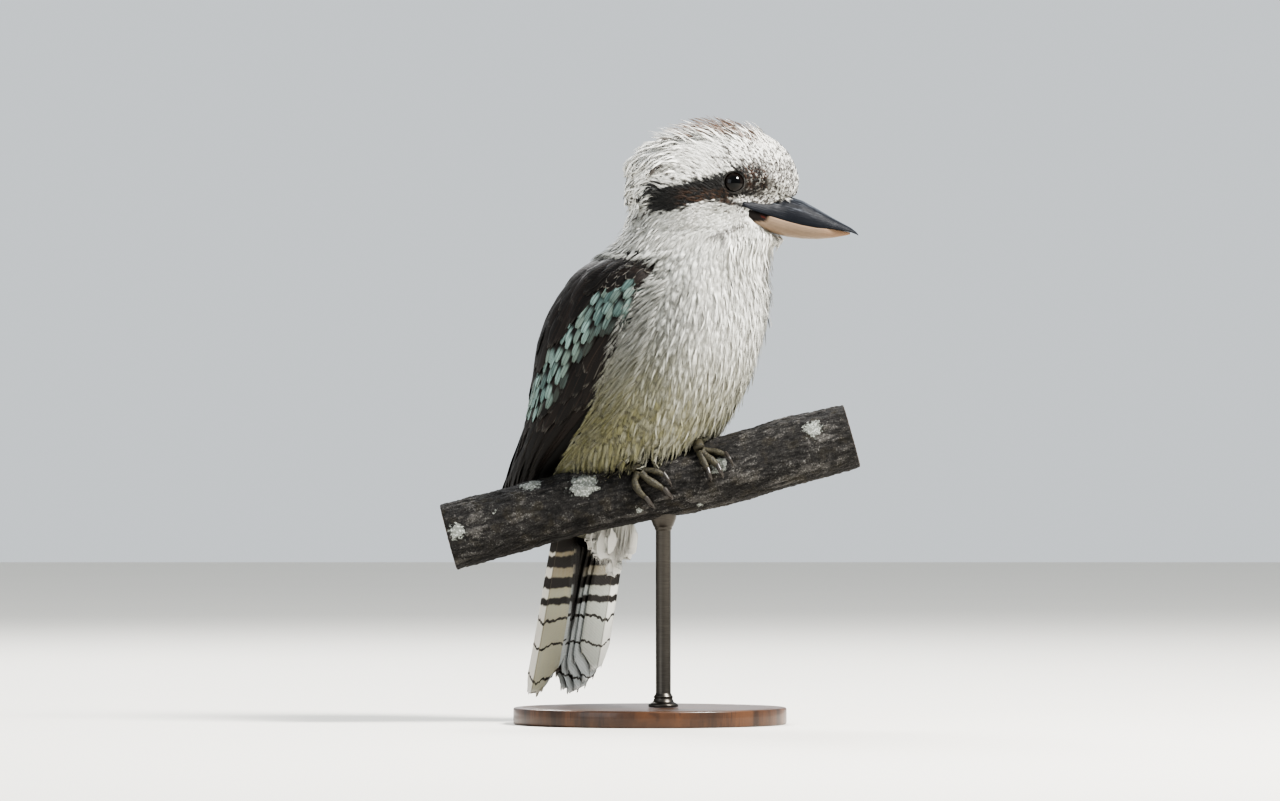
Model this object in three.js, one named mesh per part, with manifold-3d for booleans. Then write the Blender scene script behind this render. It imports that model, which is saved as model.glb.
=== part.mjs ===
// A laughing kookaburra at life size, perched on a short cut of branch over a plain display stand.
// Millimetres, +Z up. +X runs level along the perch, towards the end that rises and that the bill points to.
// The bird faces halfway between +X and -Y. The origin is the centre of the base's underside.
import * as THREE from "three";
import { mergeVertices } from "three/addons/utils/BufferGeometryUtils.js";
import Module from "manifold-3d";

const wasm = await Module();
wasm.setup();
const { Manifold } = wasm;
const rad = THREE.MathUtils.degToRad;
const { lerp, clamp, smoothstep } = THREE.MathUtils;
const vec = (x, y, z) => new THREE.Vector3(x, y, z);

// Clearance that every node keeps to the nodes it touches
const gap = 0.35;

// Body outline as level slices, from the vent up to the crown. Each slice is a rounded oval with its
// middle at x, y, turned so that its front faces turn degrees from +X, with its front, back and side
// reach in millimetres and a power: 2 is an ellipse, more is squarer.
const sliceNames = ["height", "x", "y", "turn", "front", "back", "side", "power"];
const bodySlices = [
  [112, -35.0, 42.8, -45, 8, 7, 12, 2.0],
  [118, -34.5, 42.3, -45, 12, 11, 19, 2.0],
  [126, -33.0, 40.8, -45, 14, 15, 24, 2.1],
  [136, -30.8, 38.6, -45, 18, 22, 29, 2.1],
  [146, -27.2, 35.0, -45, 31, 35, 37, 2.2],
  [152, -24.7, 32.5, -45, 44, 44, 42, 2.3],
  [159, -22.6, 30.4, -45, 55, 49, 46, 2.3],
  [166, -19.0, 26.8, -45, 58, 52, 50, 2.3],
  [176, -14.0, 21.8, -45, 60, 53.5, 52, 2.3],
  [193, -7.1, 14.9, -45, 62.5, 56, 54, 2.3],
  [211, -1.2, 9.0, -45, 66, 59.5, 56.5, 2.3],
  [228, 2.5, 5.3, -45, 66.5, 60, 57, 2.3],
  [244, 7.2, 0.6, -45, 66, 59.5, 57, 2.3],
  [257, 10.8, -3.0, -45, 62.5, 56, 54.5, 2.3],
  [269, 14.2, -7.0, -40, 57.5, 51.5, 50, 2.3],
  [277, 18.8, -11.0, -33, 53.5, 50.5, 46, 2.3],
  [284, 22.5, -15.5, -26, 51, 48.5, 42, 2.25],
  [291, 25.0, -19.5, -16, 51.5, 44.5, 38.5, 2.1],
  [297, 26.0, -21.0, -9, 47, 41.5, 36.5, 1.8],
  [303, 27.0, -22.0, -6, 43, 40, 36, 1.65],
  [309, 28.0, -22.3, -5, 49, 40.3, 35.8, 1.75],
  [316, 29.0, -22.5, -5, 58.5, 41, 35.5, 2.0],
  [325, 29.5, -22.5, -5, 60.5, 42, 35.2, 2.1],
  [334, 29.5, -22.5, -5, 58, 41.5, 34, 2.15],
  [341, 31.5, -22.5, -5, 52.5, 40, 31, 2.15],
  [347.4, 36.0, -22.8, -5, 42.5, 33, 26, 2.15],
  [351.6, 39.5, -23.0, -5, 32.5, 27, 20.5, 2.1],
  [355.2, 42.0, -23.2, -5, 22.5, 20.5, 14, 2.1],
  [357.2, 42.6, -23.2, -5, 12.5, 12, 8, 2.0],
];
const crownTop = 358.4;
const ventTip = 109;

// The perch: a cut length of branch whose middle line rises towards +X
const perchLine = new THREE.CatmullRomCurve3(
  [[-121, 112.2], [-60, 128.4], [0, 142.0], [50, 153.2], [121, 173.0]].map(([x, z]) => vec(x, 0, z)),
);
const perchRadius = 19.7;
const perchKnots = [
  { along: 0.13, round: 70, rise: 1.6, spread: 0.07 },
  { along: 0.86, round: -20, rise: 2.2, spread: 0.1 },
  { along: 0.93, round: 120, rise: 1.2, spread: 0.06 },
];

// Stand
const baseRadius = 82;
const baseThickness = 10;
const baseBevel = 2;
const rodRadius = 4.5;
const rodX = 8;
const collarRadius = 9;
const collarHeight = 12;

// Eye, lid and bill
const eyeRadius = 7.4;
const eyeHeight = 324;
const eyeAngle = 54.5;
const eyeFacing = 79;
const eyeInset = 5.2;
const lidRadius = 6;
const lidThickness = 1.2;
const lidForward = 4.7;

// Closed mesh of a geometry as a solid that can be joined and cut
function solidOf(geometry) {
  const bare = geometry.clone();
  bare.deleteAttribute("normal");
  bare.deleteAttribute("uv");
  const merged = mergeVertices(bare, 1e-4);
  const corners = Uint32Array.from(merged.index.array);
  const mesh = { numProp: 3, vertProperties: merged.attributes.position.array, triVerts: corners };
  const made = new Manifold(new wasm.Mesh(mesh));
  if (made.volume() > 0) return made;
  for (let i = 0; i < corners.length; i += 3) {
    [corners[i + 1], corners[i + 2]] = [corners[i + 2], corners[i + 1]];
  }
  return new Manifold(new wasm.Mesh(mesh));
}

function geometryOf(solid) {
  const mesh = solid.getMesh();
  const geometry = new THREE.BufferGeometry();
  geometry.setAttribute("position", new THREE.BufferAttribute(mesh.vertProperties, mesh.numProp));
  geometry.setIndex(new THREE.BufferAttribute(mesh.triVerts, 1));
  geometry.computeVertexNormals();
  return geometry;
}

// The largest closed surface of a solid, without loose scraps and sealed hollows
function largest(solid) {
  const pieces = solid.decompose();
  return pieces.reduce((best, piece) => (piece.volume() > best.volume() ? piece : best));
}

const joined = (solids) => Manifold.union(solids);

function indexed(points, triangles) {
  const geometry = new THREE.BufferGeometry().setFromPoints(points);
  geometry.setIndex(triangles.flat());
  return geometry;
}

// Skin over a stack of closed rings of points, with a point at each end
function loft(rings, start, end) {
  const count = rings[0].length;
  const points = [start, ...rings.flat(), end];
  const last = points.length - 1;
  const at = (ring, k) => 1 + ring * count + (k % count);
  const triangles = [];
  for (let k = 0; k < count; k++) {
    triangles.push([0, at(0, k + 1), at(0, k)]);
    triangles.push([last, at(rings.length - 1, k), at(rings.length - 1, k + 1)]);
    for (let ring = 0; ring + 1 < rings.length; ring++) {
      triangles.push([at(ring, k), at(ring, k + 1), at(ring + 1, k)]);
      triangles.push([at(ring, k + 1), at(ring + 1, k + 1), at(ring + 1, k)]);
    }
  }
  return solidOf(indexed(points, triangles));
}

// Smooth values between the rows of a table, read at a position in its first column
function between(table, names, position) {
  const last = table.length - 1;
  const rising = table[last][0] > table[0][0];
  let row = 0;
  while (row < last - 1 && (rising ? position > table[row + 1][0] : position < table[row + 1][0])) row++;
  const [before, from, to, after] = [row - 1, row, row + 1, row + 2].map((k) => table[clamp(k, 0, last)]);
  const span = to[0] - from[0];
  const share = clamp((position - from[0]) / span, 0, 1);
  const values = {};
  names.forEach((name, k) => {
    const leave = ((to[k] - before[k]) / (to[0] - before[0])) * span;
    const arrive = ((after[k] - from[k]) / (after[0] - from[0])) * span;
    const square = share * share;
    const cube = square * share;
    values[name] =
      (2 * cube - 3 * square + 1) * from[k] +
      (cube - 2 * square + share) * leave +
      (3 * square - 2 * cube) * to[k] +
      (cube - square) * arrive;
  });
  return values;
}

// Point on a rounded oval slice, at an angle to the left of its front
function slicePoint(slice, height, angle, grow = 0) {
  const across = Math.sin(angle);
  const forward = Math.cos(angle);
  const reachAhead = (forward > 0 ? slice.front : slice.back) + grow;
  const total =
    Math.abs(forward / reachAhead) ** slice.power + Math.abs(across / (slice.side + grow)) ** slice.power;
  const reach = total ** (-1 / slice.power);
  const heading = angle + rad(slice.turn);
  return vec(slice.x + reach * Math.cos(heading), slice.y + reach * Math.sin(heading), height);
}

const bodyAt = (height) => between(bodySlices, sliceNames, height);
const bodyPoint = (height, angle, grow) => slicePoint(bodyAt(height), height, angle, grow);

// Whole body from vent to crown, before it is parted
const levels = [
  112, 116, 123, 132, 140, 146, 152, 159, 170, 187, 206, 224, 240, 254, 266, 276, 285, 292, 298, 304, 310, 318,
  327, 336, 343, 349, 353, 355.8, 357.2,
];
const bodySides = 24;
function wholeBody(grow = 0) {
  const rings = levels.map((height) =>
    Array.from({ length: bodySides }, (_, k) => bodyPoint(height, (k / bodySides) * 2 * Math.PI, grow)),
  );
  const low = bodyAt(levels[0]);
  const high = bodyAt(levels[levels.length - 1]);
  return loft(rings, vec(low.x, low.y, ventTip - grow), vec(high.x, high.y, crownTop + grow));
}

// Everything on one side of a plane, as a block to keep or to cut away
const blockSize = 600;
function halfSpace(point, normal, shift) {
  const block = new THREE.BoxGeometry(blockSize, blockSize, blockSize).translate(0, 0, blockSize / 2 + shift);
  const turn = new THREE.Quaternion().setFromUnitVectors(vec(0, 0, 1), normal.clone().normalize());
  return solidOf(block.applyQuaternion(turn).translate(point.x, point.y, point.z));
}

// Closed slab between an upper and a lower grid of points, split into triangles alike on both faces
function slab(top, bottom, columns) {
  const under = top.length;
  const last = top.length / columns - 1;
  const triangles = [];
  const both = (a, b, c) => triangles.push([a, b, c], [under + a, under + c, under + b]);
  const wall = (a, b) => triangles.push([a, under + a, b], [b, under + a, under + b]);
  for (let i = 0; i < last; i++) {
    for (let k = 0; k + 1 < columns; k++) {
      const a = i * columns + k;
      const b = a + columns;
      if (k < (columns - 1) / 2) both(a, a + 1, b + 1), both(a, b + 1, b);
      else both(a, a + 1, b), both(a + 1, b + 1, b);
    }
    wall((i + 1) * columns, i * columns);
    wall((i + 1) * columns - 1, (i + 2) * columns - 1);
  }
  for (let k = 0; k + 1 < columns; k++) {
    wall(k, k + 1);
    wall(last * columns + k + 1, last * columns + k);
  }
  return solidOf(indexed([...top, ...bottom], triangles));
}

// A feather or lock as a flat tapered leaf. Each frame has a point on its middle line, the directions
// of its side and its face, its half width and how far its edges curl below the middle.
function leaf(frames, thickness, grow = 0) {
  const top = [];
  const bottom = [];
  for (const frame of frames) {
    for (const k of [-1, 1]) {
      const edge = frame.point.clone().addScaledVector(frame.side, k * (frame.half + grow));
      edge.addScaledVector(frame.face, -frame.curl);
      top.push(edge.clone().addScaledVector(frame.face, thickness / 2 + grow));
      bottom.push(edge.clone().addScaledVector(frame.face, -thickness / 2 - grow));
    }
  }
  return slab(top, bottom, 2);
}

// Outline of a feather: how wide it is along its length, as a share of its full width
const featherStations = [0, 0.5, 0.86, 1];
const featherWidths = [0.65, 1, 0.84, 0.28];
const lockStations = [0, 0.62, 1];
const lockWidths = [0.9, 0.9, 0.14];

// Branch
function perchFrame(share) {
  const along = perchLine.getTangentAt(share);
  const up = vec(-along.z, 0, along.x);
  return { middle: perchLine.getPointAt(share), along, up };
}

// Point round the perch: angle 0 is its top, 90 the side towards -Y
function perchPoint(share, angle, clear = 0) {
  const { middle, up } = perchFrame(share);
  let reach = perchRadius + 0.5 * Math.cos(2 * angle + 9 * share) + 0.4 * Math.sin(3 * angle - 14 * share);
  for (const knot of perchKnots) {
    const off = Math.abs(Math.atan2(Math.sin(angle - rad(knot.round)), Math.cos(angle - rad(knot.round))));
    const near = Math.exp(-(((share - knot.along) / knot.spread) ** 2) - (off / 0.7) ** 2);
    reach += knot.rise * near;
  }
  reach += clear;
  return middle.addScaledVector(up, reach * Math.cos(angle)).add(vec(0, -reach * Math.sin(angle), 0));
}

const perchSides = 16;
const perchSteps = 13;
function perch(grow = 0) {
  const rings = Array.from({ length: perchSteps + 1 }, (_, i) =>
    Array.from({ length: perchSides }, (_, k) =>
      perchPoint(i / perchSteps, (-k / perchSides) * 2 * Math.PI, grow),
    ),
  );
  return loft(rings, perchLine.getPointAt(0), perchLine.getPointAt(1));
}

// A round limb that swells and tapers along a line of points
function limb(points, radii, sides = 9, steps = 10, grow = 0) {
  const curve = new THREE.CatmullRomCurve3(points);
  const rings = [];
  const { normals, binormals } = curve.computeFrenetFrames(steps);
  for (let i = 0; i <= steps; i++) {
    const place = (i / steps) * (radii.length - 1);
    const low = Math.min(Math.floor(place), radii.length - 2);
    const radius = lerp(radii[low], radii[low + 1], place - low) + grow;
    const middle = curve.getPoint(i / steps);
    rings.push(
      Array.from({ length: sides }, (_, k) => {
        const angle = (k / sides) * 2 * Math.PI;
        return middle
          .clone()
          .addScaledVector(normals[i], radius * Math.cos(angle))
          .addScaledVector(binormals[i], radius * Math.sin(angle));
      }),
    );
  }
  const startOut = curve.getTangent(0).multiplyScalar(-0.4 * (radii[0] + grow));
  const endOut = curve.getTangent(1).multiplyScalar(0.5 * (radii[radii.length - 1] + grow));
  return loft(rings, curve.getPoint(0).add(startOut), curve.getPoint(1).add(endOut));
}

// Feet. A toe is a row of stops round the perch: millimetres along it from the foot's ball, and degrees
// round it. The claw carries on from the last stop and lifts off the bark.
const perchLength = perchLine.getLength();
const toeRadius = 2.35;
const feet = {
  right: {
    ball: { along: -5, round: 62 },
    shin: [[-15, -7, 163], [-21, 1, 178]],
    toes: [
      { stops: [[0, 0], [-3.2, 13], [-2, 30], [2.2, 46]], thick: 1 },
      { stops: [[1.5, 1], [4.5, 14], [9.5, 27], [14, 38]], thick: 1.05 },
      { stops: [[3, -3], [8, 2], [12, 8], [15.5, 15]], thick: 0.85 },
      { stops: [[-1, -4], [-5, -24], [-8, -44], [-9, -62]], thick: 0.95 },
    ],
  },
  left: {
    ball: { along: 33.5, round: 50 },
    shin: [[27, -2, 174], [22, 9, 187]],
    toes: [
      { stops: [[0, 0], [0.5, 12], [1.5, 24], [2.5, 34]], thick: 1 },
      { stops: [[1, 1], [4, 12], [7, 23], [9, 32]], thick: 1.05 },
      { stops: [[2, -3], [8, 3], [12, 9], [15.5, 16]], thick: 0.85 },
      { stops: [[1, -4], [1, -24], [0, -42], [0, -58]], thick: 0.95 },
    ],
  },
};

function foot({ ball, shin, toes }, grow = 0) {
  const stopAt = (along, round, clear) =>
    perchPoint(0.5 + (ball.along + along) / perchLength, rad(ball.round + round), clear);
  const seat = toeRadius + gap + 0.1;
  const pieces = [];
  for (const { stops, thick } of toes) {
    const radius = toeRadius * thick;
    const line = stops.map(([along, round]) => stopAt(along, round, seat));
    pieces.push(limb(line, [1.1, 0.92, 1.06, 0.8, 0.66].map((k) => k * radius), 6, 5, grow));
    const [, [nearAlong, nearRound], [endAlong, endRound]] = stops.slice(1);
    const step = Math.sign(endRound - nearRound);
    const drift = (endAlong - nearAlong) * 0.25;
    const claw = [
      stopAt(endAlong - drift, endRound - 5 * step, seat),
      stopAt(endAlong + drift, endRound + 7 * step, seat + 1.1),
      stopAt(endAlong + 2 * drift, endRound + 14 * step, seat + 0.3),
      stopAt(endAlong + 2.6 * drift, endRound + 20 * step, seat - 1.3),
    ];
    pieces.push(limb(claw, [1.35, 1.15, 0.75, 0.3].map((k) => k * thick), 5, 3, grow));
  }
  const ankle = stopAt(0, -4, seat + 1.2);
  pieces.push(limb([ankle, vec(...shin[0]), vec(...shin[1])], [3.4, 2.7, 3.0], 7, 3, grow));
  return largest(joined(pieces));
}

// Eyes. The eye faces sideways out of the head, a little forward.
function eyeCentre(side) {
  const out = bodyPoint(eyeHeight, side * rad(eyeAngle));
  const slice = bodyAt(eyeHeight);
  const heading = rad(slice.turn) + side * rad(eyeFacing);
  const facing = vec(Math.cos(heading), Math.sin(heading), 0.08).normalize();
  return { centre: out.clone().addScaledVector(facing, -eyeInset), facing };
}

function lid(side) {
  const { centre, facing } = eyeCentre(side);
  const turn = new THREE.Quaternion().setFromUnitVectors(vec(0, 0, 1), facing);
  const ring = new THREE.TorusGeometry(lidRadius, lidThickness, 5, 14);
  const place = centre.clone().addScaledVector(facing, lidForward);
  return solidOf(ring.applyQuaternion(turn).translate(place.x, place.y, place.z));
}

function eyeball(side, grow = 0) {
  const { centre } = eyeCentre(side);
  const ball = new THREE.SphereGeometry(eyeRadius + grow, 12, 8);
  return solidOf(ball.translate(centre.x, centre.y, centre.z));
}

// Bill. Stations run from inside the face to the tip: x, culmen height, mouth height, keel height and
// half width. The bill lies along the head's own middle plane.
const billNames = ["x", "culmen", "mouth", "keel", "half"];
const billStations = [
  [52, 318.5, 310.0, 299.5, 16.0],
  [62, 318.0, 308.0, 297.2, 14.8],
  [72, 317.4, 306.0, 294.6, 13.6],
  [82, 315.9, 303.4, 292.0, 12.2],
  [91, 313.0, 300.4, 290.8, 10.8],
  [100, 308.8, 298.0, 290.7, 9.2],
  [109, 303.6, 296.5, 291.2, 7.2],
  [116, 299.4, 295.6, 292.2, 5.2],
  [120, 296.9, 294.8, 293.2, 3.5],
  [123, 294.5, 292.9, 292.9, 1.8],
];
const billTip = [124.6, 292.4];
const headTurn = rad(-5);
const headMiddle = vec(29.5, -22.5, 0);
const mouthGap = 0.2;

function billPoint(x, across, height) {
  const ahead = (x - headMiddle.x) / Math.cos(headTurn);
  return vec(
    headMiddle.x + ahead * Math.cos(headTurn) - across * Math.sin(headTurn),
    headMiddle.y + ahead * Math.sin(headTurn) + across * Math.cos(headTurn),
    height,
  );
}

// One half of the bill: upper runs from the mouth line up to the culmen, lower from the mouth down
function billHalf(upper) {
  const steps = 11;
  const first = billStations[0][0];
  const last = upper ? 123 : 118.5;
  const sides = 12;
  const rings = Array.from({ length: steps + 1 }, (_, i) => {
    const share = 1 - (1 - i / steps) ** 1.25;
    const s = between(billStations, billNames, lerp(first, last, share));
    const edge = s.mouth + (upper ? mouthGap : -mouthGap);
    const far = upper ? s.culmen : s.keel;
    const taper = upper ? 1 : 1 - 0.55 * smoothstep(s.x, 104, 119);
    return Array.from({ length: sides }, (_, k) => {
      const angle = (k / (sides - 1)) * Math.PI;
      const rise = Math.sin(angle) ** (upper ? 0.95 : 0.8);
      const bulge = Math.sign(Math.cos(angle)) * Math.abs(Math.cos(angle)) ** 0.78;
      return billPoint(s.x, bulge * s.half * taper, edge + (far - edge) * rise);
    });
  });
  const s = between(billStations, billNames, last);
  const tip = upper ? billPoint(billTip[0], 0, billTip[1]) : billPoint(119.6, 0, s.mouth - mouthGap - 0.5);
  const root = between(billStations, billNames, first);
  const back = billPoint(first - 0.5, 0, upper ? root.mouth + 4 : root.mouth - 4);
  return loft(rings, back, tip);
}

// A nostril: a slanting slit near the root of the upper bill
function nostril(side) {
  const slit = new THREE.SphereGeometry(1, 8, 6).scale(3.0, 0.9, 0.75).rotateY(rad(-18));
  const at = billPoint(81.5, side * 11.2, 309.6);
  return solidOf(slit.translate(at.x, at.y, at.z));
}

// Locks on the crown and nape: short, flat, tapered and laid back over one another. Each runs from its
// own height and angle, drops by so much and swings part of the way to the nape.
const lockTiers = [
  { height: 352, from: 104, to: 256, count: 4, drop: 8.5, half: 6 },
  { height: 343, from: 100, to: 260, count: 5, drop: 13, half: 6.8 },
  { height: 328, from: 118, to: 242, count: 4, drop: 17, half: 7.2 },
];
const lockSwing = 0.3;
const lockSink = 1.2;
const lockLift = 3;
const lockThickness = 0.8;

function crownLock(height, angle, drop, half) {
  const at = (share, aside) => {
    const turned = angle + lockSwing * (Math.PI - angle) * share + aside;
    return bodyPoint(height - drop * share, turned, lerp(-lockSink, lockLift - lockSink, share));
  };
  const frames = lockStations.map((share, k) => {
    const point = at(share, 0);
    const run = at(share + 0.05, 0).sub(at(share - 0.05, 0)).normalize();
    const aside = at(share, -0.05).sub(at(share, 0.05));
    const face = run.clone().cross(aside).normalize();
    return { point, side: face.clone().cross(run).normalize(), face, half: half * lockWidths[k], curl: 0.3 };
  });
  return leaf(frames, lockThickness);
}

function crownLocks() {
  return lockTiers.flatMap(({ height, from, to, count, drop, half }) =>
    Array.from({ length: count }, (_, i) =>
      crownLock(height, rad(lerp(from, to, (i + 0.5) / count)), drop, half),
    ),
  );
}

// Wing. Its slices follow the body's side and run on past it to the tip. Angles are degrees from the
// bird's front to the wing's front edge and to its back edge.
const wingNames = ["height", "x", "y", "turn", "front", "back", "side", "power", "frontEdge", "backEdge"];
const wingSlices = [
  [282, 21.6, -14.2, -28, 54, 53, 46.5, 2.25, 82, 138],
  [276, 18.2, -11.0, -34, 57, 55, 50.0, 2.3, 66, 148],
  [268, 14.0, -6.6, -41, 60, 56, 54.0, 2.3, 62, 152],
  [257, 10.8, -3.0, -45, 67, 60, 58.5, 2.3, 60, 156],
  [244, 7.2, 0.6, -45, 70, 63.5, 61.0, 2.3, 60, 160],
  [228, 2.5, 5.3, -45, 70, 64, 61.5, 2.3, 61, 165],
  [211, -1.2, 9.0, -45, 70, 63.5, 61.0, 2.3, 63, 170],
  [193, -7.1, 14.9, -45, 67, 60.5, 58.5, 2.3, 65, 174],
  [176, -14.0, 21.8, -45, 64, 58.5, 56.5, 2.3, 70, 175],
  [164, -19.6, 27.4, -45, 62, 58.5, 54.5, 2.3, 75, 175],
  [152, -24.7, 32.5, -45, 60, 60, 52.5, 2.3, 84, 174],
  [140, -29.2, 37.0, -45, 60, 61.5, 47.0, 2.2, 98, 172],
  [130, -33.2, 41.0, -45, 60, 62, 42.0, 2.1, 112, 170],
  [119, -37.5, 45.3, -45, 60, 62, 37.0, 2.0, 124, 168],
];
const wingTop = wingSlices[0][0];
const wingTip = 117;

// Point of the right wing: down runs 0 to 1 from shoulder to tip, over 0 to 1 from front to back edge
function wingPoint(down, over, lift) {
  const height = lerp(wingTop, wingTip, down);
  const slice = between(wingSlices, wingNames, height);
  return slicePoint(slice, height, -rad(lerp(slice.frontEdge, slice.backEdge, over)), lift);
}

function wingFrame(down, over, lift) {
  const point = wingPoint(down, over, lift);
  const step = 0.004;
  const run = wingPoint(down + step, over, lift).sub(wingPoint(down - step, over, lift)).normalize();
  const aside = wingPoint(down, over + step, lift).sub(wingPoint(down, over - step, lift)).normalize();
  const face = aside.clone().cross(run).normalize();
  return { point, run, face, aside };
}

// The wing's own flesh: a shell under the feathers, thick enough to reach the body
function wingBed() {
  const rows = 8;
  const columns = 6;
  const bedEnd = 0.8;
  const outer = [];
  const inner = [];
  for (let i = 0; i <= rows; i++) {
    for (let k = 0; k <= columns; k++) {
      const down = lerp(0.015, bedEnd, i / rows);
      const rim = 0.012 + 0.05 * smoothstep(down, 0.6, bedEnd);
      const over = lerp(rim, 1 - rim, k / columns);
      const edge = Math.min(k, columns - k) / columns;
      const swell = -1.2 + 1.2 * smoothstep(edge, 0, 0.16) - 0.8 * smoothstep(down, 0.62, bedEnd);
      outer.push(wingPoint(down, over, swell));
      inner.push(wingPoint(down, over, lerp(-5.5, -2.6, smoothstep(down, 0.66, bedEnd))));
    }
  }
  return slab(outer, inner, columns + 1);
}

// Feather tiers of the wing, from the tip up. Roots run in a line from one [down, over] to another.
// Lengths and half widths are in millimetres, drift turns the front ones towards the back edge, and
// lift is the height of the roots, of the front tip and of the back tip over the wing's outline.
const wingTiers = [
  {
    count: 3, half: 9, drift: 0.3, length: [72, 64],
    from: [0.6, 0.14], to: [0.64, 0.42], lift: [-2, -3.8, -1.8],
  },
  {
    count: 4, half: 10, drift: 0.08, length: [60, 52],
    from: [0.55, 0.46], to: [0.64, 0.86], lift: [-1.6, -0.7, 2.1],
  },
  {
    count: 2, half: 9.5, drift: 0, length: [58, 54],
    from: [0.5, 0.78], to: [0.5, 0.94], lift: [-1.2, 2.4, 3.5],
  },
  {
    count: 2, half: 10, drift: 0.1, length: [33, 32],
    from: [0.46, 0.12], to: [0.51, 0.33], lift: [-1.2, 1.4, 1.4],
  },
  {
    count: 4, half: 12, drift: 0.04, length: [34, 36],
    from: [0.35, 0.12], to: [0.52, 0.78], lift: [-1.2, 1.8, 1.8],
  },
  {
    count: 4, half: 11.8, drift: 0.02, length: [32, 33],
    from: [0.22, 0.12], to: [0.39, 0.74], lift: [-1.2, 2.2, 2.2],
  },
  {
    count: 4, half: 10.8, drift: 0, length: [31, 32],
    from: [0.09, 0.12], to: [0.25, 0.68], lift: [-1.2, 2.4, 2.4],
  },
  {
    count: 3, half: 10.2, drift: 0, length: [26, 28],
    from: [-0.01, 0.2], to: [0.08, 0.6], lift: [-1.4, 2.2, 2.2],
  },
  {
    count: 2, half: 9.8, drift: 0, length: [42, 38],
    from: [0.3, 0.76], to: [0.3, 0.95], lift: [-1, 3, 3.6],
  },
  {
    count: 2, half: 10.4, drift: 0, length: [40, 38],
    from: [0.1, 0.7], to: [0.1, 0.93], lift: [-1, 3, 3.6],
  },
];
const vaneThickness = 0.6;
const vaneRoll = rad(8);

function wingFeather(down, over, length, half, drift, rootLift, tipLift) {
  const wingLength = wingTop - wingTip;
  const frames = featherStations.map((share, k) => {
    const lift = lerp(rootLift, tipLift, share);
    const place = Math.min(down + (share * length) / wingLength, 1.08);
    const { point, run, face, aside } = wingFrame(place, over + drift * share, lift);
    const side = face.clone().cross(run).normalize();
    const towardsBack = Math.sign(side.dot(aside));
    side.multiplyScalar(Math.cos(vaneRoll)).addScaledVector(face, Math.sin(vaneRoll) * towardsBack);
    return { point, side, face, half: half * featherWidths[k], curl: (half * featherWidths[k]) ** 2 / 130 };
  });
  return leaf(frames, vaneThickness);
}

function wingFeathers() {
  const made = [];
  for (const { count, from, to, length, half, drift, lift } of wingTiers) {
    for (let i = 0; i < count; i++) {
      const share = i / (count - 1);
      const vary = 1 + 0.04 * Math.sin(7.3 * i + 30 * from[0]);
      const long = lerp(length[0], length[1], share) * vary;
      const tip = lerp(lift[1], lift[2], share);
      const down = lerp(from[0], to[0], share);
      const over = lerp(from[1], to[1], share);
      made.push(wingFeather(down, over, long, half, drift * (1 - share), lift[0], tip));
    }
  }
  return made;
}

// The left wing is the right one seen in a mirror that stands along the bird's middle plane
function mirrored(solid) {
  const across = Math.SQRT1_2;
  return solid
    .translate([-bodyMiddle.x, -bodyMiddle.y, 0])
    .mirror([across, across, 0])
    .translate([bodyMiddle.x, bodyMiddle.y, 0]);
}
const bodyMiddle = vec(7.8, 0, 0);

// Point in the bird's own frame: ahead along its heading, left across it, and height
function birdPoint(ahead, left, height) {
  const c = Math.SQRT1_2;
  return vec(bodyMiddle.x + c * (ahead + left), c * (left - ahead), height);
}
const birdDirection = (ahead, left, up) => birdPoint(ahead, left, up).sub(bodyMiddle).normalize();

// Tail. Pairs of feathers count from the middle pair, on top, to the outer pair, lowest.
const tailRoot = { ahead: -63.5, height: 130 };
const tailLean = rad(11.5);
const tailPairs = 6;
const tailLength = 118;
const tailHalf = 12.4;
const tailPitch = 3.35;
const tailSpread = 0.12;
const tailSteps = { right: 0.12, left: 1.1 };
const tailStump = [[-57, 142], [-61, 131], [-65, 119]];
const tailPadWidths = [15, 20, 18];
const tailPadStep = 10;
const tailPadThickness = 8;
const tailStations = [0, 0.3, 0.7, 0.94, 1];
const tailWidths = [0.62, 0.84, 1, 0.92, 0.34];

function tailFeather(pair, side, grow) {
  const down = birdDirection(-Math.sin(tailLean), 0, -Math.cos(tailLean));
  const belly = birdDirection(Math.cos(tailLean), 0, -Math.sin(tailLean));
  const across = birdDirection(0, 1, 0);
  const rank = pair + 0.5;
  const spread = side * rad(0.4 + tailSpread * pair);
  const run = down.clone().multiplyScalar(Math.cos(spread)).addScaledVector(across, Math.sin(spread));
  const sideways = across.clone().multiplyScalar(Math.cos(spread)).addScaledVector(down, -Math.sin(spread));
  const root = birdPoint(tailRoot.ahead, side * tailPitch * rank, tailRoot.height);
  root.addScaledVector(belly, 1.2 * pair - 3.4 + (side > 0 ? 0.6 : 0));
  const length = tailLength - (side > 0 ? tailSteps.left : tailSteps.right) * pair ** 2;
  const frames = tailStations.map((share, k) => ({
    point: root.clone().addScaledVector(run, share * length).addScaledVector(belly, -2.5 * share * share),
    side: sideways,
    face: belly,
    half: tailHalf * tailWidths[k],
    curl: -0.5,
  }));
  return leaf(frames, 0.8, grow);
}

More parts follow.
